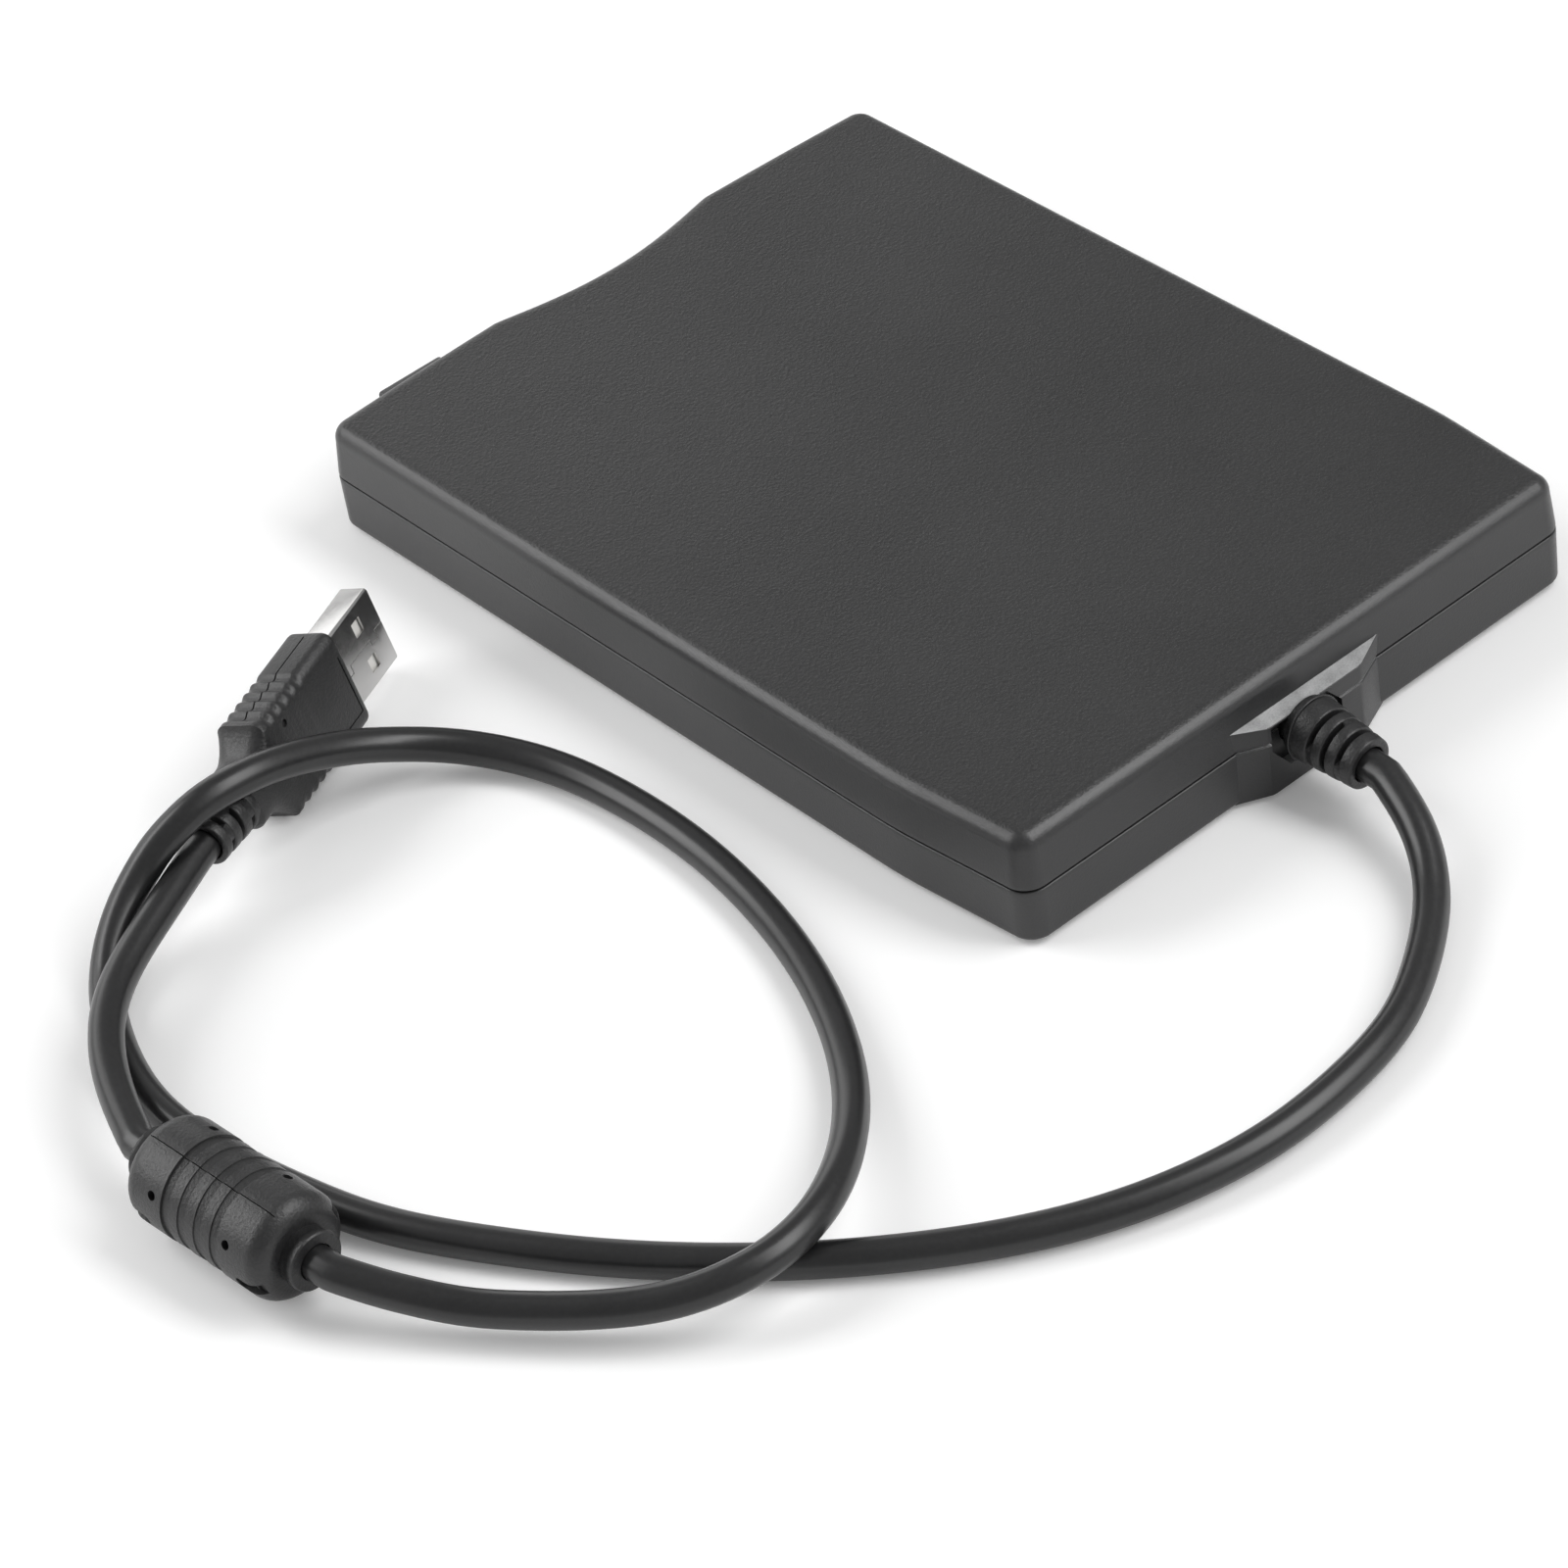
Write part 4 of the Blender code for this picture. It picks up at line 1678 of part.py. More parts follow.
def plug():
    place = plug_frame()
    neck = (2 * PLUG_TAIL_RADIUS, 2 * PLUG_TAIL_RADIUS)
    size = (PLUG_THICKNESS, PLUG_WIDTH)
    nose = tuple(length - PLUG_CORNER / 2 for length in size)
    neck_front = -PLUG_LENGTH - PLUG_NECK_LENGTH
    rings = [
        plug_ring(neck, PLUG_TAIL_RADIUS * NECK_ROUND_SHARE, neck_front - FUSE_DEPTH),
        plug_ring(neck, PLUG_TAIL_RADIUS * NECK_ROUND_SHARE, neck_front),
    ]
    for share in (0.25, 0.5, 0.75, 1.0):
        sweep = 1.0 - math.cos(math.radians(90.0 * share))
        width = neck[1] + (size[1] - neck[1]) * sweep
        thickness = neck[0] + (size[0] - neck[0]) * sweep
        radius = PLUG_TAIL_RADIUS * NECK_ROUND_SHARE * (1.0 - sweep) + PLUG_CORNER * sweep
        rings.append(plug_ring((thickness, width), radius, neck_front + PLUG_NECK_LENGTH * share))
    rings.append(plug_ring(size, PLUG_CORNER, -PLUG_CORNER / 4))
    rings.append(plug_ring(nose, PLUG_CORNER * NECK_ROUND_SHARE, 0.0))
    body = piece("plug_body", move(lofted(rings), place), "black_pvc")
    tail_place = place @ Matrix.Translation((0.0, 0.0, neck_front)) @ Matrix.Rotation(math.pi, 4, "X")
    tail = slotted_taper(PLUG_TAIL_RADIUS, PLUG_TAIL_END_RADIUS, PLUG_TAIL_LENGTH, PLUG_TAIL_RINGS)
    base = [(0.0, -FUSE_DEPTH / 2), (PLUG_TAIL_RADIUS, -FUSE_DEPTH / 2)]
    shape = turned(base + tail[1:] + [(0.0, PLUG_TAIL_LENGTH)])
    fuse(body, move(shape, tail_place), label="tail")
    webs = bridges(PLUG_TAIL_RADIUS, PLUG_TAIL_LENGTH, PLUG_TAIL_RINGS, tail_place)
    fuse(body, *webs, label="tail_webs")
    grooves = []
    groove = (PLUG_THICKNESS + OVERRUN, 2 * GRIP_RIB_DEPTH, GRIP_RIB_WIDTH)
    first = -PLUG_LENGTH / 2 - (GRIP_RIBS - 1) * GRIP_RIB_PITCH / 2
    for i in range(GRIP_RIBS):
        for side in (-1, 1):
            centre = (0.0, side * PLUG_WIDTH / 2, first + i * GRIP_RIB_PITCH)
            grooves.append(move(block_at(centre, groove), place))
    cut(body, *grooves, label="grips")
    room_x = SHELL_HEIGHT / 2 + SEAT_GAP
    room_y = SHELL_WIDTH / 2 + SEAT_GAP
    socket = block((-room_x, -room_y, -SHELL_ROOT - SEAT_GAP), (room_x, room_y, OVERRUN))
    cut(body, move(socket, place), label="shell_socket")
    plug_shell(place)


def plug_shell(place):
    half_x = SHELL_HEIGHT / 2
    half_y = SHELL_WIDTH / 2
    outer = block((-half_x, -half_y, -SHELL_ROOT), (half_x, half_y, SHELL_LENGTH))
    shell = piece("plug_shell", move(outer, place), "nickel")
    inside_x = half_x - SHELL_SHEET
    inside_y = half_y - SHELL_SHEET
    room_high = (inside_x, inside_y, SHELL_LENGTH + OVERRUN)
    room = block((-inside_x, -inside_y, -SHELL_ROOT + SHELL_SHEET), room_high)
    cut(shell, move(room, place), label="mouth")
    windows = []
    for side in (-1, 1):
        centre = (0.0, side * SHELL_WINDOW_SIDE, SHELL_LENGTH - SHELL_WINDOW_FROM_TIP)
        windows.append(move(block_at(centre, (SHELL_HEIGHT + OVERRUN, SHELL_WINDOW, SHELL_WINDOW)), place))
    cut(shell, *windows, label="windows")
    wall = -inside_x + SEAT_GAP
    tongue = block(
        (wall, -inside_y + SEAT_GAP, -SHELL_ROOT + SHELL_SHEET + SEAT_GAP),
        (wall + INSERT_THICKNESS, inside_y - SEAT_GAP, SHELL_LENGTH - INSERT_SETBACK),
    )
    piece("plug_insert", move(tongue, place), "ivory_plastic")


def build():
    for thing in list(bpy.data.objects):
        bpy.data.objects.remove(thing, do_unlink=True)
    top_cover()
    bottom_cover()
    feet_and_screws()
    dust_door()
    button = eject_button()
    lamp_front = lens_and_lamp()
    drive_chassis()
    drive_cover(lamp_front)
    disk_holder()
    slide = slide_plate()
    slide_axis = empty("eject_slide_axis", tuple(slide.location))
    hang(slide_axis, slide, button)
    slide_springs()
    spring_bracket()
    shutter_lever()
    motor_board()
    stator()
    spindle()
    head_carriage()
    rod_screw_and_stepper()
    electronics()
    switches()
    strain_relief()
    cords()
    ferrite_bead()
    plug()


build()
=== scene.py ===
"""The looks of an external floppy disk drive with a captive cord.

Metres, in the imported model's frame: +Z up, the slot towards -Y, the cord
leaving the rear wall towards +Y. The drive stands on its feet at z = 0.
"""

import json
import math

import bmesh
import bpy
from mathutils import Matrix, Vector


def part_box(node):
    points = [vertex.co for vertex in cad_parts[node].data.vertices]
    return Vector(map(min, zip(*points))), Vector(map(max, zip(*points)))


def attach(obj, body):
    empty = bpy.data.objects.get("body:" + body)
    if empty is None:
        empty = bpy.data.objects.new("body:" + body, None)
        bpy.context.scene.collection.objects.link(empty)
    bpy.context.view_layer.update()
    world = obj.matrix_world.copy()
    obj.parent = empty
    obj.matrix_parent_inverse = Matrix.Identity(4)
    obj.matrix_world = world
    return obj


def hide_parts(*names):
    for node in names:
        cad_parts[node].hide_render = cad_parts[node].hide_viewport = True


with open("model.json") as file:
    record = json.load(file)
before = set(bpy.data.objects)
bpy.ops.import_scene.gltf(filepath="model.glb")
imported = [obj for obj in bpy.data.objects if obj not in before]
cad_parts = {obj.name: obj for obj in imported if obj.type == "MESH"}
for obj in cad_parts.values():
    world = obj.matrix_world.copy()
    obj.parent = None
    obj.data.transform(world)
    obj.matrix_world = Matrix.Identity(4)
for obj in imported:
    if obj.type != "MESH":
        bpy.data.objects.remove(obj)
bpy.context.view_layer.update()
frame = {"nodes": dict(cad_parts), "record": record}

# Camera, fitted to the photograph
CAMERA_PLACE = (0.39605, 0.51213, 0.49522)
CAMERA_AIM = (0.04833, 0.02164, 0.0)
CAMERA_ROLL = -9.37
CAMERA_LENS = 134.6
SENSOR_WIDTH = 36.0

# Case
CASE_WIDTH = 0.1030
CASE_WALL = 0.0016
RIM_ROUND = 0.00022
FRONT_BOW = 0.00156
CORNER_RADIUS = 0.0035
TOP_FILLET = 0.0024
BOTTOM_FILLET = 0.0008
TOP_DRAFT = 0.00057
BOTTOM_DRAFT = 0.00006
REAR_TAPER = 0.00193
TAPER_LENGTH = 0.0229
SCOOP_CENTRE = -0.0005
SCOOP_HALF_WIDTH = 0.0200
SCOOP_DEPTH = 0.0033
SCOOP_SHAPE_SHARE = 1.2
BOSS_PROUD = 0.0021
BOSS_LEDGE_DROP = 0.0050
BOSS_ROOT_RIGHT = 0.0131
BOSS_ROOT_LEFT = 0.0142
BOSS_FACE_RIGHT = 0.0082
BOSS_FACE_LEFT = 0.0085
BOSS_EDGE = 0.0003
RECESS_CENTRE = 0.0016
RECESS_WIDTH = 0.0128
RECESS_DEPTH = 0.0017
RECESS_LIP = 0.0003
RECESS_HEIGHT = 0.0077
OVERRUN = 0.0020
GAP = 0.0003

LOWER_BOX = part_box("bottom_cover")
UPPER_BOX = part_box("top_cover")
CASE_BOTTOM = LOWER_BOX[0].z
LOWER_RIM = LOWER_BOX[1].z
UPPER_RIM = UPPER_BOX[0].z
CASE_TOP = UPPER_BOX[1].z
FRONT_CROWN = UPPER_BOX[0].y
BOSS_FACE = UPPER_BOX[1].y
REAR_WALL = BOSS_FACE - BOSS_PROUD
HALF_WIDTH = CASE_WIDTH / 2
BOSS_LEDGE = CASE_TOP - BOSS_LEDGE_DROP
FLOOR = CASE_BOTTOM + CASE_WALL
CEILING = CASE_TOP - CASE_WALL

# Strain relief
RELIEF_X = 0.0019
RELIEF_Z = 0.00875
RELIEF_SLOPE = 4.4
RELIEF_NECK_RADIUS = 0.0030
RELIEF_FLANGE_RADIUS = 0.0048
RELIEF_FLANGE_DEPTH = 0.0009
RELIEF_COLLAR_RADIUS = 0.0046
RELIEF_END_RADIUS = 0.0037
RELIEF_LENGTH = 0.0106
RELIEF_ANCHOR_RADIUS = 0.0042

# Cord and bead
CORD_RADIUS = 0.0024
CORD_FINE_STEP = 0.0015
SPLINE_SAMPLES = 12
CORD_EASING = 24
CORD_HELD = 2
CORD_STRAIGHT_SHARE = 1.2
CORD_ROUNDNESS = 6
BEAD_RADIUS = 0.0074
BEAD_BODY_LENGTH = 0.0260
BEAD_COLLAR_LENGTH = 0.0025
BEAD_COLLAR_RADIUS = 0.0041
BEAD_ROUND = 0.0026
BEAD_TURN = -15.4

# Plug
PLUG_X = 0.0793
PLUG_Y = -0.0357
PLUG_HEADING = 204.8
PLUG_LEAN = 14.0
PLUG_WIDTH = 0.0154
PLUG_THICKNESS = 0.0078
PLUG_LENGTH = 0.0208
PLUG_CORNER = 0.0018
PLUG_NECK_LENGTH = 0.0040
PLUG_TAIL_LENGTH = 0.0116
PLUG_TAIL_RADIUS = 0.0040
PLUG_TAIL_END_RADIUS = 0.0034
SHELL_WIDTH = 0.0120
SHELL_HEIGHT = 0.0045
SHELL_SHEET = 0.0003
SHELL_LENGTH = 0.01175
SHELL_ROOT = 0.0030
SHELL_WINDOW = 0.0022
SHELL_WINDOW_SIDE = 0.0030
SHELL_WINDOW_FROM_TIP = 0.0050
INSERT_THICKNESS = 0.0018
INSERT_SETBACK = 0.0010

# Light
FLOOR_GLOW = 0.12
WORLD_LIGHT = 0.40
REAR_STRIP = dict(place=(-0.53, 0.69, 0.95), lie=(0.0, 0.87, -0.49), size=(1.3, 0.5))
SIDE_STRIP = dict(place=(0.76, -0.80, 0.72), lie=(0.84, 0.0, -0.54), size=(1.2, 0.5))
BACK_CARD = dict(place=(-0.2, -1.6, 0.55), lie=(1.0, 0.0, 0.0), size=(2.0, 0.6))
LAMPS = [
    dict(REAR_STRIP, name="rear_strip", power=10.2),
    dict(SIDE_STRIP, name="side_strip", power=9.4),
    dict(REAR_STRIP, name="rear_glint", power=10.0, colours=False),
    dict(SIDE_STRIP, name="side_glint", power=6.0, colours=False),
    dict(BACK_CARD, name="back_card", power=6.0),
]
# Cord's route from the strain relief to the bead
CORD_ROUTE = [
    (0.0025, 0.0905, 0.0073),
    (0.0043, 0.0963, 0.0058),
    (0.0079, 0.1019, 0.0040),
    (0.0131, 0.1071, 0.0028),
    (0.0265, 0.1160, 0.0024),
    (0.0360, 0.1192, 0.0024),
    (0.0542, 0.1208, 0.0024),
    (0.0705, 0.1177, 0.0024),
    (0.0843, 0.1116, 0.0024),
    (0.0980, 0.1019, 0.0024),
    (0.1110, 0.0897, 0.0024),
    (0.1233, 0.0747, 0.0024),
    (0.1334, 0.0586, 0.0024),
    (0.1388, 0.0478, 0.0024),
    (0.1417, 0.0365, 0.0024),
    (0.1438, 0.0258, 0.0024),
    (0.1449, 0.0143, 0.0024),
    (0.1430, 0.0025, 0.0024),
    (0.1384, -0.0082, 0.0026),
    (0.1338, -0.0155, 0.0037),
    (0.1244, -0.0209, 0.0085),
    (0.1176, -0.0211, 0.0125),
    (0.1108, -0.0201, 0.0148),
    (0.1033, -0.0202, 0.0145),
    (0.0966, -0.0207, 0.0126),
    (0.0884, -0.0207, 0.0094),
    (0.0797, -0.0182, 0.0060),
    (0.0708, -0.0098, 0.0033),
    (0.0663, 0.0047, 0.0024),
    (0.0662, 0.0278, 0.0024),
    (0.0716, 0.0523, 0.0024),
    (0.0829, 0.0743, 0.0034),
    (0.0999, 0.0907, 0.0069),
    (0.1158, 0.0944, 0.0075),
    (0.1281, 0.0866, 0.0056),
    (0.1394, 0.0731, 0.0048),
    (0.1462, 0.0641, 0.0062),
]

# Where the bead's two cord faces lie, and the route from the bead to the plug
BEAD_START = (0.1503, 0.0528, 0.0075)
BEAD_END = (0.1523, 0.0218, 0.0075)
PLUG_ROUTE = [
    (0.1514, 0.0165, 0.0075),
    (0.1499, 0.0115, 0.0076),
    (0.1471, 0.0051, 0.0078),
    (0.1424, -0.0021, 0.0080),
    (0.1366, -0.0076, 0.0080),
    (0.1293, -0.0118, 0.0080),
    (0.1215, -0.0158, 0.0080),
]


# Meshes

SMOOTH_ANGLE = math.radians(38)
ROUND_STEPS = 40
FINE_STEPS = 72


def scene_object(name, mesh):
    thing = bpy.data.objects.new(name, mesh)
    bpy.context.scene.collection.objects.link(thing)
    return thing


def mesh_of(name, shape):
    """A mesh made from a bmesh, which is freed, with its faces turned outward."""
    bmesh.ops.recalc_face_normals(shape, faces=shape.faces)
    if shape.calc_volume(signed=True) < 0.0:
        bmesh.ops.reverse_faces(shape, faces=shape.faces)
    mesh = bpy.data.meshes.new(name)
    shape.to_mesh(mesh)
    shape.free()
    return mesh


def piece(name, shape, finish, node, body="case", place=None):
    """A finished piece that stands for a node of the frame and rides on its body."""
    mesh = shape if isinstance(shape, bpy.types.Mesh) else mesh_of(name, shape)
    if place is not None:
        mesh.transform(place)
    mesh.materials.clear()
    mesh.materials.append(SURFACES[finish])
    mesh.shade_smooth()
    mesh.set_sharp_from_angle(angle=SMOOTH_ANGLE)
    thing = scene_object(name, mesh)
    if node:
        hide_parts(node)
    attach(thing, body)
    return thing


def combine(base, shapes, operation):
    """A mesh after Booleans with each helper shape in turn."""
    thing = scene_object("work", base if isinstance(base, bpy.types.Mesh) else mesh_of("work", base))
    helpers = []
    for shape in shapes:
        helper = scene_object("helper", mesh_of("helper", shape))
        helpers.append(helper)
        step = thing.modifiers.new("step", "BOOLEAN")
        step.operation = operation
        step.solver = "MANIFOLD"
        step.object = helper
    bpy.context.view_layer.update()
    graph = bpy.context.evaluated_depsgraph_get()
    result = bpy.data.meshes.new_from_object(thing.evaluated_get(graph))
    for scrap in [thing] + helpers:
        bpy.data.objects.remove(scrap)
    return result


def cut(base, *shapes):
    return combine(base, shapes, "DIFFERENCE")


def fuse(base, *shapes):
    return combine(base, shapes, "UNION")


def join(*shapes):
    whole = bmesh.new()
    for shape in shapes:
        scrap = mesh_of("scrap", shape)
        whole.from_mesh(scrap)
        bpy.data.meshes.remove(scrap)
    return whole


def move(shape, matrix):
    shape.transform(matrix)
    return shape


def lofted(rings):
    """A closed body through rings of equal point counts, capped at both ends."""
    shape = bmesh.new()
    levels = [[shape.verts.new(point) for point in ring] for ring in rings]
    count = len(levels[0])
    for lower, upper in zip(levels, levels[1:]):
        for i in range(count):
            j = (i + 1) % count
            shape.faces.new((lower[i], lower[j], upper[j], upper[i]))
    shape.faces.new(levels[0])
    shape.faces.new(levels[-1])
    return shape


def prism(outline, low, high, axis="Z"):
    place = {
        "X": lambda a, b, h: (h, a, b),
        "Y": lambda a, b, h: (a, h, b),
        "Z": lambda a, b, h: (a, b, h),
    }[axis]
    return lofted([[place(a, b, h) for a, b in outline] for h in (low, high)])


def block(low, high):
    (x0, y0, z0), (x1, y1, z1) = low, high
    return prism([(x0, y0), (x1, y0), (x1, y1), (x0, y1)], z0, z1)


def block_at(centre, size):
    low = [c - s / 2 for c, s in zip(centre, size)]
    high = [c + s / 2 for c, s in zip(centre, size)]
    return block(low, high)


def arc(centre, radius, start, end, steps):
    """Points on an arc, angles in degrees."""
    points = []
    for i in range(steps + 1):
        angle = math.radians(start + (end - start) * i / steps)
        points.append((centre[0] + radius * math.cos(angle), centre[1] + radius * math.sin(angle)))
    return points


def circle(centre, radius, steps=ROUND_STEPS):
    return arc(centre, radius, 0.0, 360.0 * (steps - 1) / steps, steps - 1)


def rounded_rectangle(centre, size, radius, steps=8):
    x = size[0] / 2 - radius
    y = size[1] / 2 - radius
    points = []
    for dx, dy, start in ((x, y, 0.0), (-x, y, 90.0), (-x, -y, 180.0), (x, -y, 270.0)):
        points += arc((centre[0] + dx, centre[1] + dy), radius, start, start + 90.0, steps)
    return points


def rod(centre, radius, low, high, axis="Z", steps=ROUND_STEPS):
    return prism(circle(centre, radius, steps), low, high, axis)


def turned(profile, steps=ROUND_STEPS):
    """A body spun round Z from (radius, height) points; a ring if none is at radius 0."""
    shape = bmesh.new()
    hollow = min(radius for radius, height in profile) > 0.0
    columns = []
    for i in range(steps):
        angle = 2 * math.pi * i / steps
        column = []
        for k, (radius, height) in enumerate(profile):
            if radius == 0.0 and i > 0:
                column.append(columns[0][k])
                continue
            column.append(shape.verts.new((radius * math.cos(angle), radius * math.sin(angle), height)))
        columns.append(column)
    count = len(profile)
    for i in range(steps):
        here = columns[i]
        after = columns[(i + 1) % steps]
        for k in range(count if hollow else count - 1):
            m = (k + 1) % count
            corners = []
            for corner in (here[k], here[m], after[m], after[k]):
                if corner not in corners:
                    corners.append(corner)
            if len(corners) > 2:
                shape.faces.new(corners)
    return shape


def soften(profile, radius, steps=3, turn_angle=25.0):
    """A (radius, height) profile with its sharp corners rounded."""
    points = [Vector(point) for point in profile]
    soft = [points[0]]
    for before, here, after in zip(points, points[1:], points[2:]):
        first = here - before
        second = after - here
        turn = math.degrees(first.angle(second, 0.0))
        reach = min(radius, first.length / 2.2, second.length / 2.2)
        if turn < turn_angle or reach <= 0.0:
            soft.append(here)
            continue
        start = here - first.normalized() * reach
        end = here + second.normalized() * reach
        for i in range(steps + 1):
            t = i / steps
            soft.append((1 - t) ** 2 * start + 2 * t * (1 - t) * here + t ** 2 * end)
    soft.append(points[-1])
    return [tuple(point) for point in soft]


def along(place, direction):
    """A matrix that lays the Z axis along a direction from a place."""
    turn = Vector(direction).to_track_quat("Z", "Y").to_matrix().to_4x4()
    return Matrix.Translation(place) @ turn


def inset(outline, depth):
    """A counter-clockwise outline moved inwards by a depth."""
    count = len(outline)
    moved = []
    for i in range(count):
        before = Vector(outline[i - 1])
        here = Vector(outline[i])
        after = Vector(outline[(i + 1) % count])
        first = (here - before).normalized()
        second = (after - here).normalized()
        side = Vector((-first.y - second.y, first.x + second.x))
        moved.append(tuple(here + side * (depth / (1.0 + first.dot(second)))))
    return moved


# Surfaces

def texture(tree, kind, coordinates, scale, detail=2.0, rough=0.5):
    node = tree.nodes.new(kind)
    node.inputs["Scale"].default_value = scale
    if "Detail" in node.inputs:
        node.inputs["Detail"].default_value = detail
        node.inputs["Roughness"].default_value = rough
    tree.links.new(coordinates, node.inputs["Vector"])
    return node


def ramp(tree, value, low, high, start=0.35, end=0.65):
    node = tree.nodes.new("ShaderNodeMapRange")
    node.inputs["From Min"].default_value = start
    node.inputs["From Max"].default_value = end
    node.inputs["To Min"].default_value = low
    node.inputs["To Max"].default_value = high
    tree.links.new(value, node.inputs["Value"])
    return node.outputs["Result"]


PLASTIC_IOR = 1.5


def surface(
    name, dark, light, roughness, grain=0.0004, depth=0.0, metallic=0.0, coat=0.0, cloud=0.02, cells=False
):
    """A finish with a mottled colour, uneven gloss and a fine grain in relief."""
    material = bpy.data.materials.new(name)
    material.use_nodes = True
    tree = material.node_tree
    shader = tree.nodes["Principled BSDF"]
    coordinates = tree.nodes.new("ShaderNodeTexCoord").outputs["Object"]
    broad = texture(tree, "ShaderNodeTexNoise", coordinates, 1.0 / cloud, 3.0)
    fine = texture(tree, "ShaderNodeTexNoise", coordinates, 1.0 / grain, 4.0, 0.6)
    mixed = tree.nodes.new("ShaderNodeMath")
    mixed.operation = "ADD"
    tree.links.new(ramp(tree, broad.outputs["Fac"], 0.0, 0.6), mixed.inputs[0])
    tree.links.new(ramp(tree, fine.outputs["Fac"], 0.0, 0.4), mixed.inputs[1])
    colour = tree.nodes.new("ShaderNodeMix")
    colour.data_type = "RGBA"
    colour.inputs["A"].default_value = (*dark, 1.0)
    colour.inputs["B"].default_value = (*light, 1.0)
    tree.links.new(mixed.outputs["Value"], colour.inputs["Factor"])
    tree.links.new(colour.outputs["Result"], shader.inputs["Base Color"])
    tree.links.new(ramp(tree, fine.outputs["Fac"], roughness[0], roughness[1]), shader.inputs["Roughness"])
    shader.inputs["Metallic"].default_value = metallic
    shader.inputs["IOR"].default_value = PLASTIC_IOR
    shader.inputs["Coat Weight"].default_value = coat
    if depth > 0.0:
        relief = tree.nodes.new("ShaderNodeBump")
        relief.inputs["Distance"].default_value = depth
        relief.inputs["Strength"].default_value = 1.0
        height = fine.outputs["Fac"]
        if cells:
            cell = texture(tree, "ShaderNodeTexVoronoi", coordinates, 1.0 / (1.6 * grain))
            both = tree.nodes.new("ShaderNodeMath")
            both.operation = "ADD"
            tree.links.new(cell.outputs["Distance"], both.inputs[0])
            tree.links.new(fine.outputs["Fac"], both.inputs[1])
            height = both.outputs["Value"]
        tree.links.new(height, relief.inputs["Height"])
        tree.links.new(relief.outputs["Normal"], shader.inputs["Normal"])
    return material


MATERIALS = {
    "case_plastic": dict(
        dark=(0.013, 0.013, 0.0134), light=(0.022, 0.022, 0.0224),
        roughness=(0.36, 0.48), grain=0.00036, depth=0.00004, cells=True, cloud=0.03,
    ),
    # The walls' lighter colour is painted sheen on the same plastic as the crown; their smoother grain and
    # glossier finish are their own.
    "case_side": dict(
        dark=(0.022, 0.022, 0.0228), light=(0.032, 0.032, 0.033),
        roughness=(0.30, 0.40), grain=0.00032, depth=0.00003, cloud=0.03,
    ),
    # The ledge's pale grey is a painted highlight for the light on its sloped face; its coarser grain and
    # rougher gloss are its own.
    "case_ledge": dict(
        dark=(0.21, 0.212, 0.214), light=(0.50, 0.503, 0.505),
        roughness=(0.38, 0.60), grain=0.00022, depth=0.00005, cloud=0.004,
    ),
    "foot_rubber": dict(
        dark=(0.012, 0.012, 0.012), light=(0.022, 0.022, 0.022),
        roughness=(0.75, 0.9), grain=0.0003, depth=0.00003,
    ),
    "cord_plastic": dict(
        dark=(0.010, 0.010, 0.0105), light=(0.018, 0.018, 0.0185),
        roughness=(0.29, 0.33), grain=0.0006, depth=0.000004,
    ),
    "moulded_pvc": dict(
        dark=(0.012, 0.012, 0.0125), light=(0.024, 0.024, 0.0245),
        roughness=(0.34, 0.46), grain=0.0003, depth=0.00003, cells=True,
    ),
    "sheet_steel": dict(
        dark=(0.50, 0.505, 0.51), light=(0.62, 0.62, 0.615),
        roughness=(0.34, 0.50), grain=0.0007, metallic=1.0, cloud=0.008,
    ),
    "bright_steel": dict(
        dark=(0.58, 0.575, 0.57), light=(0.68, 0.67, 0.66),
        roughness=(0.18, 0.30), grain=0.0003, metallic=1.0, cloud=0.006,
    ),
    "screw_steel": dict(
        dark=(0.36, 0.355, 0.35), light=(0.48, 0.475, 0.47),
        roughness=(0.25, 0.38), grain=0.0003, metallic=1.0, cloud=0.003,
    ),
    "plug_metal": dict(
        dark=(0.52, 0.515, 0.51), light=(0.60, 0.595, 0.59),
        roughness=(0.20, 0.26), grain=0.0009, metallic=1.0, cloud=0.012,
    ),
    "bearing_brass": dict(
        dark=(0.62, 0.42, 0.16), light=(0.76, 0.56, 0.26),
        roughness=(0.28, 0.42), grain=0.0003, metallic=1.0, cloud=0.004,
    ),
    "ivory_plastic": dict(
        dark=(0.74, 0.73, 0.70), light=(0.84, 0.83, 0.80),
        roughness=(0.42, 0.55), grain=0.0004, depth=0.00001,
    ),
    "grey_plastic": dict(
        dark=(0.20, 0.205, 0.21), light=(0.28, 0.285, 0.29),
        roughness=(0.42, 0.56), grain=0.0004, depth=0.00001,
    ),
    "lens_plastic": dict(
        dark=(0.10, 0.16, 0.05), light=(0.18, 0.25, 0.10),
        roughness=(0.12, 0.22), grain=0.0005, coat=0.5, cloud=0.002,
    ),
    "board_laminate": dict(
        dark=(0.010, 0.10, 0.035), light=(0.025, 0.17, 0.07),
        roughness=(0.25, 0.42), grain=0.0005, coat=0.3, cloud=0.004,
    ),
    "chip_plastic": dict(
        dark=(0.016, 0.016, 0.018), light=(0.030, 0.030, 0.032),
        roughness=(0.40, 0.52), grain=0.0002, depth=0.00001,
    ),
    "ferrite": dict(
        dark=(0.08, 0.077, 0.08), light=(0.13, 0.125, 0.13),
        roughness=(0.50, 0.68), grain=0.0003, depth=0.00001,
    ),
    "ribbon_plastic": dict(
        dark=(0.60, 0.60, 0.58), light=(0.74, 0.74, 0.71),
        roughness=(0.40, 0.52), grain=0.0006, cloud=0.003,
    ),
    "gold_contact": dict(
        dark=(0.78, 0.56, 0.22), light=(0.90, 0.68, 0.32),
        roughness=(0.20, 0.32), grain=0.0003, metallic=1.0, cloud=0.002,
    ),
}
SURFACES = {name: surface(name, **facts) for name, facts in MATERIALS.items()}


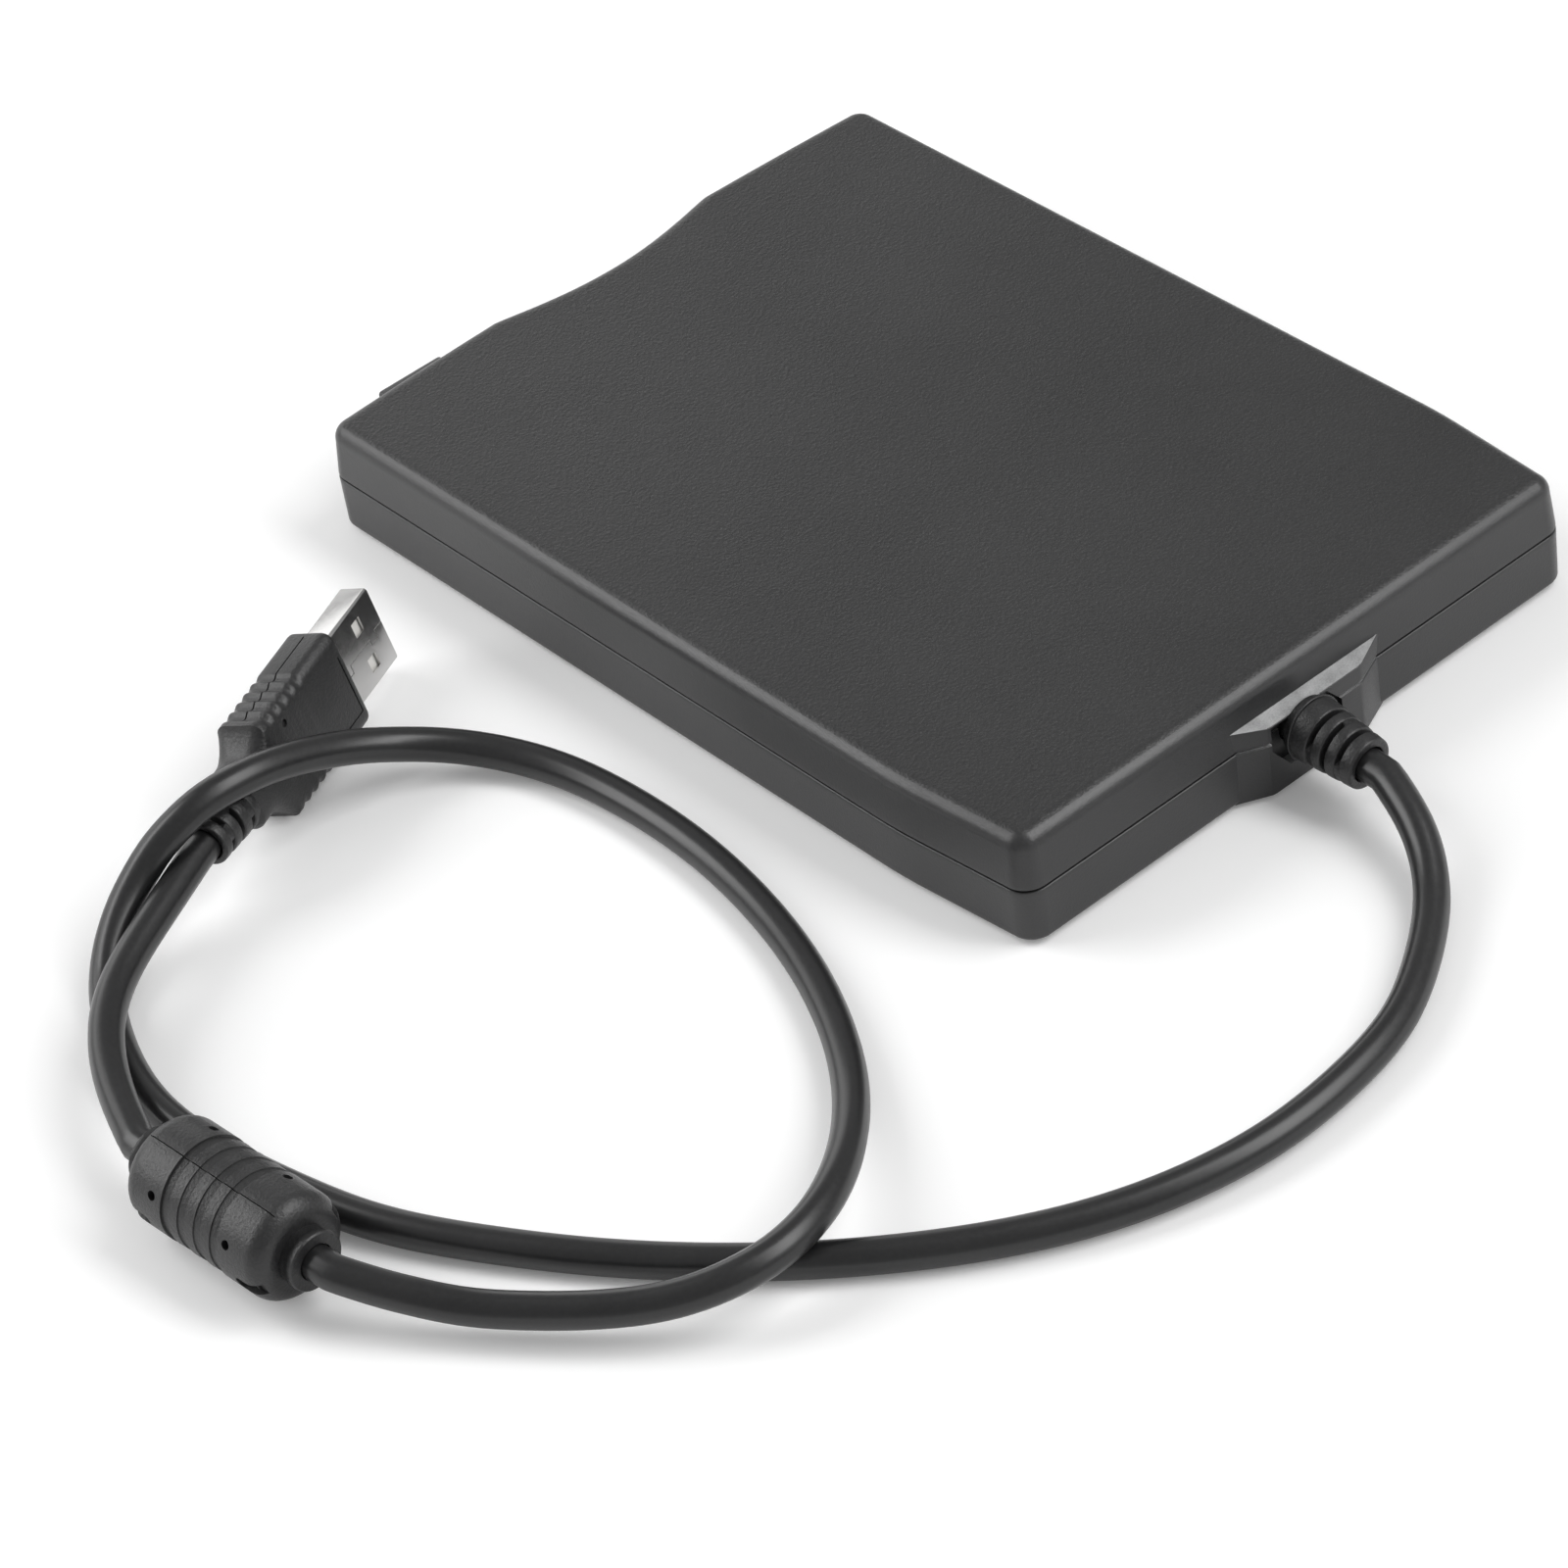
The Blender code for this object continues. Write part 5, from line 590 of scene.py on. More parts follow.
def dress_frame():
    """Every node of the frame wears its slot's finish."""
    for part in frame["record"]["subparts"]:
        node = frame["nodes"][part["node"]]
        node.data.materials.clear()
        node.data.materials.append(SURFACES[part["material_slot"]])
        node.data.shade_smooth()
        node.data.set_sharp_from_angle(angle=SMOOTH_ANGLE)


# Cords

def smooth_route(points, step):
    """Points at an even pitch on a smooth curve through the route's points."""
    fine = []
    padded = [2 * points[0] - points[1]] + points + [2 * points[-1] - points[-2]]
    for a, b, c, d in zip(padded, padded[1:], padded[2:], padded[3:]):
        for i in range(SPLINE_SAMPLES):
            t = i / SPLINE_SAMPLES
            lead = (c - a) * 0.5
            trail = (d - b) * 0.5
            fine.append(
                b * (2 * t ** 3 - 3 * t ** 2 + 1)
                + lead * (t ** 3 - 2 * t ** 2 + t)
                + c * (3 * t ** 2 - 2 * t ** 3)
                + trail * (t ** 3 - t ** 2)
            )
    fine.append(points[-1])
    lengths = [0.0]
    for before, after in zip(fine, fine[1:]):
        lengths.append(lengths[-1] + (after - before).length)
    count = max(2, round(lengths[-1] / step))
    even = []
    k = 0
    for i in range(count):
        target = lengths[-1] * i / count
        while lengths[k + 1] < target:
            k += 1
        share = (target - lengths[k]) / (lengths[k + 1] - lengths[k])
        even.append(fine[k].lerp(fine[k + 1], share))
    even.append(points[-1])
    for turn in range(CORD_EASING):
        eased = [(before + 2 * here + after) / 4 for before, here, after in zip(even, even[1:], even[2:])]
        for here, better in zip(even[CORD_HELD:-CORD_HELD], eased[CORD_HELD - 1:]):
            here.xy = better.xy
    return even


def relief_direction():
    fall = math.radians(RELIEF_SLOPE)
    return Vector((0.0, math.cos(fall), -math.sin(fall)))


def relief_end():
    start = Vector((RELIEF_X, BOSS_FACE + RELIEF_FLANGE_DEPTH, RELIEF_Z))
    return start + relief_direction() * RELIEF_LENGTH


def bead_line():
    """The bead's middle and the way the cord runs through it."""
    start = Vector(BEAD_START)
    end = Vector(BEAD_END)
    return (start + end) / 2, (end - start).normalized()


def plug_frame():
    """X across the thickness, Y across the width, Z towards the tip, from the mould's front face."""
    heading = math.radians(PLUG_HEADING)
    lean = math.radians(PLUG_LEAN)
    tip = Vector((math.cos(heading), math.sin(heading), 0.0))
    side = Vector((-tip.y, tip.x, 0.0))
    wide = Vector((0.0, 0.0, 1.0)) * math.cos(lean) + side * math.sin(lean)
    thick = wide.cross(tip)
    half_wide = PLUG_WIDTH / 2 - PLUG_CORNER
    half_thick = PLUG_THICKNESS / 2 - PLUG_CORNER
    height = half_wide * math.cos(lean) + half_thick * math.sin(lean) + PLUG_CORNER
    turn = Matrix((thick, wide, tip)).transposed().to_4x4()
    return Matrix.Translation((PLUG_X, PLUG_Y, height)) @ turn


def cord(name, node, start, start_direction, route, end, end_direction):
    """A cord that leaves one moulding and enters the next, square to each face."""
    straight = CORD_STRAIGHT_SHARE * CORD_RADIUS
    first = start - start_direction * CORD_SUNK
    last = end + end_direction * CORD_SUNK
    points = [start + start_direction * straight]
    points += [Vector(point) for point in route if (Vector(point) - points[0]).length > straight]
    points.append(end - end_direction * straight)
    path = [first] + smooth_route(points, CORD_FINE_STEP) + [last]
    curve = bpy.data.curves.new(name, "CURVE")
    curve.dimensions = "3D"
    curve.bevel_depth = CORD_RADIUS
    curve.bevel_resolution = CORD_ROUNDNESS
    curve.use_fill_caps = True
    spline = curve.splines.new("POLY")
    spline.points.add(len(path) - 1)
    for target, point in zip(spline.points, path):
        target.co = (*point, 1.0)
    spline.use_smooth = True
    curve.materials.append(SURFACES["cord_plastic"])
    thing = scene_object(name, curve)
    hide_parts(node)
    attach(thing, "case")
    return thing


def cords():
    middle, way = bead_line()
    reach = BEAD_BODY_LENGTH / 2 + BEAD_COLLAR_LENGTH
    near = middle - way * reach
    exit_way = relief_direction()
    cord("long_cord", "cord", relief_end(), exit_way, CORD_ROUTE, near, way)
    plug_place = plug_frame()
    tail = PLUG_LENGTH + PLUG_NECK_LENGTH + PLUG_TAIL_LENGTH
    plug_way = plug_place.to_3x3() @ Vector((0.0, 0.0, 1.0))
    plug_end = plug_place @ Vector((0.0, 0.0, -tail))
    far = middle + way * reach
    cord("short_cord", "plug_cord", far, way, PLUG_ROUTE, plug_end, plug_way)


# Case

SCOOP_POINTS = 56
WING_POINTS = 16
CORNER_STEPS = 14
FILLET_STEPS = 10
KINK_REACH = 0.0040
SUPPORT = 0.0005
CASE_SMOOTH = 15.0
LEDGE_EDGE = 0.00012
LEDGE_FALL = 0.30
RECESS_SHARES = [(0.20, 1.0), (0.0, 0.62), (0.0, 0.35), (0.22, 0.0), (0.76, 0.0), (1.0, 0.5), (1.0, 1.0)]


def front_line(x):
    """Y of the bowed front with its thumb scoop."""
    bow = FRONT_BOW * (x / HALF_WIDTH) ** 2
    reach = min(1.0, abs(x - SCOOP_CENTRE) / SCOOP_HALF_WIDTH)
    return FRONT_CROWN + bow + SCOOP_DEPTH * (1.0 - reach ** 2) ** SCOOP_SHAPE_SHARE


def half_width(y):
    share = max(0.0, (y - REAR_WALL + TAPER_LENGTH) / TAPER_LENGTH)
    return HALF_WIDTH - REAR_TAPER * share


def side_kink(side):
    """The side's gentle turn into its rear taper, from front to rear."""
    kink = REAR_WALL - TAPER_LENGTH
    start = Vector((side * HALF_WIDTH, kink - KINK_REACH))
    corner = Vector((side * HALF_WIDTH, kink))
    end = Vector((side * half_width(kink + KINK_REACH), kink + KINK_REACH))
    points = []
    for i in range(CORNER_STEPS + 1):
        t = i / CORNER_STEPS
        points.append(tuple((1 - t) ** 2 * start + 2 * t * (1 - t) * corner + t ** 2 * end))
    return points


def even_steps(start, end, steps):
    return [start + (end - start) * i / steps for i in range(steps)]


def case_outline():
    """The case in plan, counter-clockwise from its front left corner."""
    side = HALF_WIDTH - CORNER_RADIUS
    left = SCOOP_CENTRE - SCOOP_HALF_WIDTH
    right = SCOOP_CENTRE + SCOOP_HALF_WIDTH
    line = even_steps(-side, left, WING_POINTS)
    line += even_steps(left, right, SCOOP_POINTS)
    line += even_steps(right, side, WING_POINTS) + [side]
    points = [(x, front_line(x)) for x in line]
    front_centre = front_line(side) + CORNER_RADIUS
    rear_centre = REAR_WALL - CORNER_RADIUS
    corner = half_width(rear_centre) - CORNER_RADIUS
    points += arc((side, front_centre), CORNER_RADIUS, -90.0, 0.0, CORNER_STEPS)[1:]
    points += side_kink(1)
    points += arc((corner, rear_centre), CORNER_RADIUS, 0.0, 90.0, CORNER_STEPS)
    points += arc((-corner, rear_centre), CORNER_RADIUS, 90.0, 180.0, CORNER_STEPS)
    points += side_kink(-1)[::-1]
    points += arc((-side, front_centre), CORNER_RADIUS, 180.0, 270.0, CORNER_STEPS)[:-1]
    return points


def case_shell(rim, crown, draft, fillet):
    """An open tray from its rounded rim over a filleted edge to its flat crown, and back inside."""
    outline = case_outline()
    up = 1.0 if crown > rim else -1.0
    rise = abs(crown - rim) - fillet
    outer = []
    for angle in even_steps(0.0, 90.0, 3):
        turn = math.radians(angle)
        outer.append((RIM_ROUND * (1.0 - math.cos(turn)), RIM_ROUND * (1.0 - math.sin(turn))))
    for height in (RIM_ROUND, RIM_ROUND + SUPPORT, rise - SUPPORT):
        outer.append((height, draft * height / rise))
    for i in range(FILLET_STEPS + 1):
        angle = math.radians(90.0 * i / FILLET_STEPS)
        outer.append((rise + fillet * math.sin(angle), draft + fillet * (1.0 - math.cos(angle))))
    outer.append((rise + fillet, draft + fillet + SUPPORT))
    inner = [(0.0, CASE_WALL), (rise + fillet - CASE_WALL, CASE_WALL + draft)]
    shape = bmesh.new()
    levels = []
    for height, depth in outer + inner[::-1]:
        ring = [(x, y, rim + up * height) for x, y in inset(outline, depth)]
        levels.append([shape.verts.new(point) for point in ring])
    count = len(outline)
    for k in range(len(levels)):
        lower = levels[k]
        upper = levels[(k + 1) % len(levels)]
        if k == len(outer) - 1:
            shape.faces.new(lower)
            shape.faces.new(upper)
            continue
        for i in range(count):
            j = (i + 1) % count
            shape.faces.new((lower[i], lower[j], upper[j], upper[i]))
    return shape


def rear_boss(near, far, fall):
    """The raised pad round the cord's exit, sloped at its sides, its far face falling outward."""
    root = REAR_WALL - CASE_WALL / 2
    outline = [(BOSS_ROOT_RIGHT + BOSS_EDGE, root), (BOSS_ROOT_RIGHT, REAR_WALL - BOSS_EDGE)]
    shoulder = BOSS_FACE - BOSS_EDGE / 3
    outline += [(BOSS_FACE_RIGHT + BOSS_EDGE, shoulder), (BOSS_FACE_RIGHT - BOSS_EDGE, BOSS_FACE)]
    outline += [(-BOSS_FACE_LEFT + BOSS_EDGE, BOSS_FACE), (-BOSS_FACE_LEFT - BOSS_EDGE, shoulder)]
    outline += [(-BOSS_ROOT_LEFT, REAR_WALL - BOSS_EDGE), (-BOSS_ROOT_LEFT - BOSS_EDGE, root)]
    up = 1.0 if far > near else -1.0
    rings = [[(x, y, near) for x, y in inset(outline, BOSS_EDGE / 2)]]
    rings.append([(x, y, near + up * BOSS_EDGE / 2) for x, y in outline])
    for angle in (0.0, 30.0, 60.0, 90.0):
        turn = math.radians(angle)
        depth = LEDGE_EDGE * (1.0 - math.cos(turn))
        level = far - up * LEDGE_EDGE * (1.0 - math.sin(turn))
        ring = inset(outline, depth)
        rings.append([(x, y, level - up * fall * max(0.0, y - REAR_WALL)) for x, y in ring])
    return lofted(rings)


def rear_cuts():
    """The recess for the strain relief's flange, and the hole for its neck."""
    top = BOSS_LEDGE - LEDGE_FALL * BOSS_PROUD - RECESS_LIP
    left = RECESS_CENTRE - RECESS_WIDTH / 2
    bottom = top - RECESS_HEIGHT
    outline = [(left + RECESS_WIDTH * x, bottom + RECESS_HEIGHT * z) for x, z in RECESS_SHARES]
    rings = [[(x, BOSS_FACE - RECESS_DEPTH, z) for x, z in outline]]
    rings.append([(x, BOSS_FACE + OVERRUN, z) for x, z in outline])
    radius = RELIEF_NECK_RADIUS + GAP
    neck = rod((RELIEF_X, RELIEF_Z), radius, REAR_WALL - CASE_WALL - OVERRUN, BOSS_FACE + OVERRUN, "Y")
    return lofted(rings[::-1]), neck


def centre_of(node):
    low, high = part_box(node)
    return (low + high) / 2


SCREWS = ["case_screw_%d" % i for i in range(1, 5)]
FEET = ["rubber_foot_%d" % i for i in range(1, 5)]
DOOR_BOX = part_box("dust_door")
BUTTON_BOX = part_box("eject_button")
LENS_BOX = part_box("led_lens")
SLOT_HALF = 0.0458
SLOT_TOP = 0.0120
SLOT_BOTTOM = DOOR_BOX[0].z - GAP
PILLAR_RADIUS = 0.0019
SCREW_BORE_RADIUS = 0.00105
HEAD_BORE_RADIUS = 0.0017
FUSE_DEPTH = 0.0004


def pillars(low, high, radius):
    return [rod(centre_of(screw).xy, radius, low, high) for screw in SCREWS]


def slot_cut():
    rings = []
    for y, spread in ((FRONT_CROWN - OVERRUN, BOSS_EDGE / 3), (DOOR_BOX[0].y, 0.0)):
        x = SLOT_HALF + spread
        low = SLOT_BOTTOM - spread
        high = SLOT_TOP + spread
        rings.append([(-x, y, low), (x, y, low), (x, y, high), (-x, y, high)])
    return lofted(rings)


def front_window(box, reach):
    low = (box[0].x - GAP, FRONT_CROWN - OVERRUN, box[0].z - GAP)
    return block(low, (box[1].x + GAP, reach, box[1].z + GAP))


def two_tone(mesh, top_level):
    """Grained crown; smoother walls painted lighter, a painted sheen; and a coarser ledge over the cord's
    exit painted pale as a highlight.
    """
    mesh.materials.clear()
    for name in ("case_plastic", "case_side", "case_ledge"):
        mesh.materials.append(SURFACES[name])
    for face in mesh.polygons:
        # Faces sorted by which way they point: the upright walls and fillets get the copy painted lighter
        # as sheen.
        face.material_index = 0 if abs(face.normal.z) > top_level else 1
        # The ledge over the cord's exit gets the colour painted pale as a highlight.
        if face.center.y > REAR_WALL and face.normal.z > top_level:
            face.material_index = 2


def shell_piece(name, mesh, node):
    thing = piece(name, mesh, "case_plastic", node)
    two_tone(thing.data, 0.9)
    thing.data.set_sharp_from_angle(angle=math.radians(CASE_SMOOTH))
    return thing


def upper_shell():
    shell = case_shell(UPPER_RIM, CASE_TOP, TOP_DRAFT, TOP_FILLET)
    mesh = fuse(shell, rear_boss(UPPER_RIM, BOSS_LEDGE, LEDGE_FALL))
    mesh = fuse(mesh, join(*pillars(UPPER_RIM, CEILING + FUSE_DEPTH, PILLAR_RADIUS)))
    door = centre_of("dust_door")
    ribs = []
    for side in (-1, 1):
        edges = sorted((side * (SLOT_HALF + 2 * GAP), side * (HALF_WIDTH - CASE_WALL)))
        low = (edges[0], door.y - PILLAR_RADIUS / 2, SLOT_TOP - PILLAR_RADIUS / 2)
        ribs.append(block(low, (edges[1], door.y + PILLAR_RADIUS / 2, CEILING + FUSE_DEPTH)))
    mesh = fuse(mesh, join(*ribs))
    recess, neck = rear_cuts()
    pin = rod((door.y, DOOR_BOX[1].z), 2 * GAP, DOOR_BOX[0].x - GAP, DOOR_BOX[1].x + GAP, "X")
    mesh = cut(mesh, slot_cut(), recess, neck, pin)
    mesh = cut(mesh, join(*pillars(UPPER_RIM - OVERRUN, CEILING - OVERRUN, SCREW_BORE_RADIUS)))
    windows = join(front_window(BUTTON_BOX, DOOR_BOX[0].y), front_window(LENS_BOX, DOOR_BOX[0].y))
    mesh = cut(mesh, windows)
    return shell_piece("upper_shell", mesh, "top_cover")


def lower_shell():
    shell = case_shell(LOWER_RIM, CASE_BOTTOM, BOTTOM_DRAFT, BOTTOM_FILLET)
    mesh = fuse(shell, rear_boss(LOWER_RIM, CASE_BOTTOM, 0.0))
    mesh = fuse(mesh, join(*pillars(FLOOR - FUSE_DEPTH, LOWER_RIM, PILLAR_RADIUS)))
    mesh = cut(mesh, slot_cut(), *rear_cuts())
    mesh = cut(mesh, join(*pillars(CASE_BOTTOM - OVERRUN, LOWER_RIM + OVERRUN, SCREW_BORE_RADIUS)))
    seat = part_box(SCREWS[0])[0].z + OVERRUN / 2
    mesh = cut(mesh, join(*pillars(CASE_BOTTOM - OVERRUN, seat, HEAD_BORE_RADIUS)))
    sinks = []
    for foot in FEET:
        low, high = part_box(foot)
        radius = (high.x - low.x) / 2 + GAP
        sinks.append(rod(centre_of(foot).xy, radius, CASE_BOTTOM - OVERRUN, high.z + GAP))
    mesh = cut(mesh, join(*sinks))
    return shell_piece("lower_shell", mesh, "bottom_cover")


def door_flap():
    low, high = DOOR_BOX
    radius = (high.y - low.y) / 2
    y = (low.y + high.y) / 2
    top = high.z - radius
    corner = radius / 2
    profile = arc((y - radius + corner, low.z + corner), corner, 180.0, 270.0, 4)
    profile += arc((y + radius - corner, low.z + corner), corner, 270.0, 360.0, 4)
    profile += arc((y, top), radius, 0.0, 180.0, 12)
    reach = SLOT_HALF + GAP / 2
    mesh = fuse(prism(profile, -reach, reach, "X"), rod((y, top), radius - GAP / 4, low.x, high.x, "X"))
    piece("door_flap", mesh, "case_side", "dust_door", "door")


def front_button():
    low, high = BUTTON_BOX
    centre = centre_of("eject_button")
    size = (high.x - low.x, high.z - low.z)
    radius = BOSS_EDGE * 2
    outline = rounded_rectangle((centre.x, centre.z), size, radius)
    rings = []
    for angle in (90.0, 65.0, 40.0, 20.0, 0.0):
        turn = math.radians(angle)
        depth = radius * (1.0 - math.cos(turn)) * 0.9
        rings.append([(x, low.y + radius * (1.0 - math.sin(turn)), z) for x, z in inset(outline, depth)])
    rings.append([(x, high.y, z) for x, z in outline])
    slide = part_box("slide_plate")
    top = slide[1].z + GAP
    bottom = top - 4 * GAP
    half = 10 * GAP
    tab = block((centre.x - half, high.y - 12 * GAP, bottom), (centre.x + half, high.y + OVERRUN, top))
    mesh = cut(lofted(rings), tab)
    piece("front_button", mesh, "case_side", "eject_button", "eject_slide")


def front_lens():
    low, high = LENS_BOX
    centre = centre_of("led_lens")
    outline = rounded_rectangle((centre.x, centre.z), (high.x - low.x, high.z - low.z), GAP, 6)
    rings = []
    for angle in (90.0, 60.0, 30.0, 0.0):
        turn = math.radians(angle)
        depth = GAP / 2 * (1.0 - math.cos(turn))
        rings.append([(x, low.y + GAP / 2 * (1.0 - math.sin(turn)), z) for x, z in inset(outline, depth)])
    rings.append([(x, high.y, z) for x, z in outline])
    piece("front_lens", lofted(rings), "lens_plastic", "led_lens")


SCREW_SHANK_RADIUS = 0.00075
SCREW_HEAD_DEPTH = 0.0007
CROSS_REACH_SHARE = 0.62
CROSS_WIDTH_SHARE = 0.16


def feet_and_screws():
    for i, foot in enumerate(FEET):
        low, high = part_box(foot)
        radius = (high.x - low.x) / 2
        place = Matrix.Translation((*centre_of(foot).xy, 0.0))
        profile = soften([(0.0, low.z), (radius, low.z), (radius, high.z), (0.0, high.z)], GAP, 4)
        shape = turned(profile, FINE_STEPS)
        piece("soft_foot_%d" % (i + 1), shape, "foot_rubber", foot, place=place)
    for i, screw in enumerate(SCREWS):
        low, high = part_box(screw)
        radius = (high.x - low.x) / 2
        shank = SCREW_SHANK_RADIUS
        seat = low.z + SCREW_HEAD_DEPTH
        place = Matrix.Translation((*centre_of(screw).xy, 0.0))
        profile = [(0.0, low.z), (radius, low.z), (radius, seat)]
        profile += [(shank, seat), (shank, high.z), (0.0, high.z)]
        reach = radius * CROSS_REACH_SHARE
        width = radius * CROSS_WIDTH_SHARE
        arms = [block((-reach, -width, low.z - OVERRUN), (reach, width, low.z + GAP * 1.5))]
        arms.append(block((-width, -reach, low.z - OVERRUN), (width, reach, low.z + GAP * 1.5)))
        mesh = cut(turned(soften(profile, GAP / 2, 3)), *arms)
        piece("cross_screw_%d" % (i + 1), mesh, "screw_steel", screw, place=place)


# Strain relief, bead and plug

CORD_BORE = CORD_RADIUS + 0.00012
BORE_DEPTH = 0.0016
CORD_SUNK = 0.0012
SLEEVE_GROOVE = 0.00075
SLEEVE_CORE_SHARE = 0.66
SLEEVE_ROUND = 0.00030
NECK_ROUND = 0.00015
WEB_REACH_SHARE = 0.975
WEB_SPREAD = 20.0
WEB_TURNS = (10.0, 65.0)
RELIEF_DISC_START = 0.0012
RELIEF_DISC_DEPTH = 0.0004
RELIEF_GROOVES = (0.0029, 0.0052, 0.0076)
TAIL_GROOVES = (0.0014, 0.0039, 0.0063)


def sleeve_profile(start_radius, end_radius, length, grooves, width, core_share):
    """Points of a tapering sleeve with deep grooves, open at its cord end."""
    def radius_at(height):
        return start_radius + (end_radius - start_radius) * height / length
    profile = [(0.0, -FUSE_DEPTH), (start_radius, -FUSE_DEPTH)]
    for middle in grooves:
        low = middle - width / 2
        high = middle + width / 2
        profile += [(radius_at(low), low), (radius_at(low) * core_share, low)]
        profile += [(radius_at(high) * core_share, high), (radius_at(high), high)]
    profile.append((end_radius, length))
    profile += [(CORD_BORE, length), (CORD_BORE, length - BORE_DEPTH), (0.0, length - BORE_DEPTH)]
    return profile


def slotted_sleeve(name, start_radius, end_radius, length, grooves, place):
    """The sleeve with webs left standing in its grooves, a quarter turn on at each."""
    profile = sleeve_profile(start_radius, end_radius, length, grooves, SLEEVE_GROOVE, SLEEVE_CORE_SHARE)
    sleeve = mesh_of(name, move(turned(soften(profile, SLEEVE_ROUND, 4), FINE_STEPS), place))
    webs = []
    for i, middle in enumerate(grooves):
        reach = (start_radius + (end_radius - start_radius) * middle / length) * WEB_REACH_SHARE
        spread = WEB_SPREAD
        outline = arc((0.0, 0.0), reach, -spread, spread, 6)
        outline += arc((0.0, 0.0), reach, 180.0 - spread, 180.0 + spread, 6)
        web = prism(outline, middle - SLEEVE_GROOVE, middle + SLEEVE_GROOVE)
        turn = WEB_TURNS[i % 2]
        webs.append(move(web, place @ Matrix.Rotation(math.radians(turn), 4, "Z")))
    return fuse(sleeve, *webs)


def relief_sleeve():
    disc = BOSS_FACE + RELIEF_DISC_START
    start = disc + RELIEF_DISC_DEPTH
    place = along((RELIEF_X, start, RELIEF_Z), relief_direction())
    length = RELIEF_LENGTH + RELIEF_FLANGE_DEPTH - RELIEF_DISC_START - RELIEF_DISC_DEPTH
    mesh = slotted_sleeve("relief", RELIEF_COLLAR_RADIUS, RELIEF_END_RADIUS, length, RELIEF_GROOVES, place)
    inside = REAR_WALL - CASE_WALL - GAP
    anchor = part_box("strain_relief")[0].y
    wide = RELIEF_ANCHOR_RADIUS
    slim = RELIEF_NECK_RADIUS
    neck = [(0.0, anchor), (wide, anchor), (wide, inside), (slim, inside)]
    neck += [(slim, BOSS_FACE), (wide, BOSS_FACE), (wide, disc)]
    neck += [(RELIEF_FLANGE_RADIUS, disc), (RELIEF_FLANGE_RADIUS, start), (0.0, start)]
    level = along((RELIEF_X, 0.0, RELIEF_Z), (0.0, 1.0, 0.0))
    stem = move(turned(soften(neck, NECK_ROUND, 3), FINE_STEPS), level)
    return piece("relief_sleeve", fuse(mesh, stem), "moulded_pvc", "strain_relief")


COLLAR_LIP_SHARE = 0.94
COLLAR_STEP_SHARE = 0.35
BAND_COUNT = 4
BAND_PITCH = 0.00305
BAND_WIDTH = 0.0014
BAND_DROP = 0.00050
BAND_LIFT = 0.00030
BAND_SMOOTH_DROP = 0.00014
BAND_EDGE = 0.00006
HOLE_RADIUS = 0.00066
HOLE_DEPTH = 0.0022
HOLE_FROM_MIDDLE = 0.0070
HOLE_TURNS = (39.5, 140.5, 219.5, 320.5)
NOTCH_WIDTH = 0.0020
NOTCH_LENGTH = 0.0048
NOTCH_DEPTH = 0.0012
NOTCH_ROUND_SHARE = 0.49
RIDGE_PITCH = 0.0010
RIDGE_SIZE = (0.00045, 0.0012, 0.0005)
SPLIT_WIDTH = 0.00014


def bead_profile():
    """Points from the far collar over the stepped bands to the near collar, then through the bores."""
    half = BEAD_BODY_LENGTH / 2
    reach = half + BEAD_COLLAR_LENGTH
    lip = BEAD_COLLAR_RADIUS * COLLAR_LIP_SHARE
    low = BEAD_COLLAR_LENGTH * COLLAR_STEP_SHARE
    bevel = BAND_EDGE * 3
    wide = BEAD_COLLAR_RADIUS
    collar = [(CORD_BORE, -reach), (wide - bevel, -reach), (wide, -reach + bevel)]
    collar += [(wide, -reach + low), (lip, -reach + low * 1.4), (lip, -half)]
    shoulder = []
    for i in range(11):
        turn = math.radians(9.0 * i)
        round_in = BEAD_ROUND * (1.0 - math.sin(turn))
        shoulder.append((BEAD_RADIUS - round_in, -half + BEAD_ROUND * (1.0 - math.cos(turn))))
    bands = []
    first = -((BAND_COUNT - 1) * BAND_PITCH + BAND_WIDTH) / 2
    for i in range(BAND_COUNT):
        start = first + i * BAND_PITCH
        end = start + BAND_WIDTH
        top = BEAD_RADIUS if i == 0 else BEAD_RADIUS - BAND_EDGE
        after = BEAD_RADIUS if i == BAND_COUNT - 1 else BEAD_RADIUS - BAND_SMOOTH_DROP
        bands += [(top, start - BAND_EDGE), (top - BAND_EDGE, start)]
        bands += [(BEAD_RADIUS - BAND_DROP, start + BAND_EDGE), (BEAD_RADIUS - BAND_LIFT, end - BAND_EDGE)]
        bands.append((after, end))
    mirrored = [(radius, -height) for radius, height in (collar + shoulder)[::-1]]
    core_low, core_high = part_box("ferrite_core")
    room = (core_high - core_low).y / 2
    bore = (core_high - core_low).z / 2 + GAP
    inner = [(CORD_BORE, room), (bore, room), (bore, -room), (CORD_BORE, -room)]
    return collar + shoulder + bands + mirrored + inner


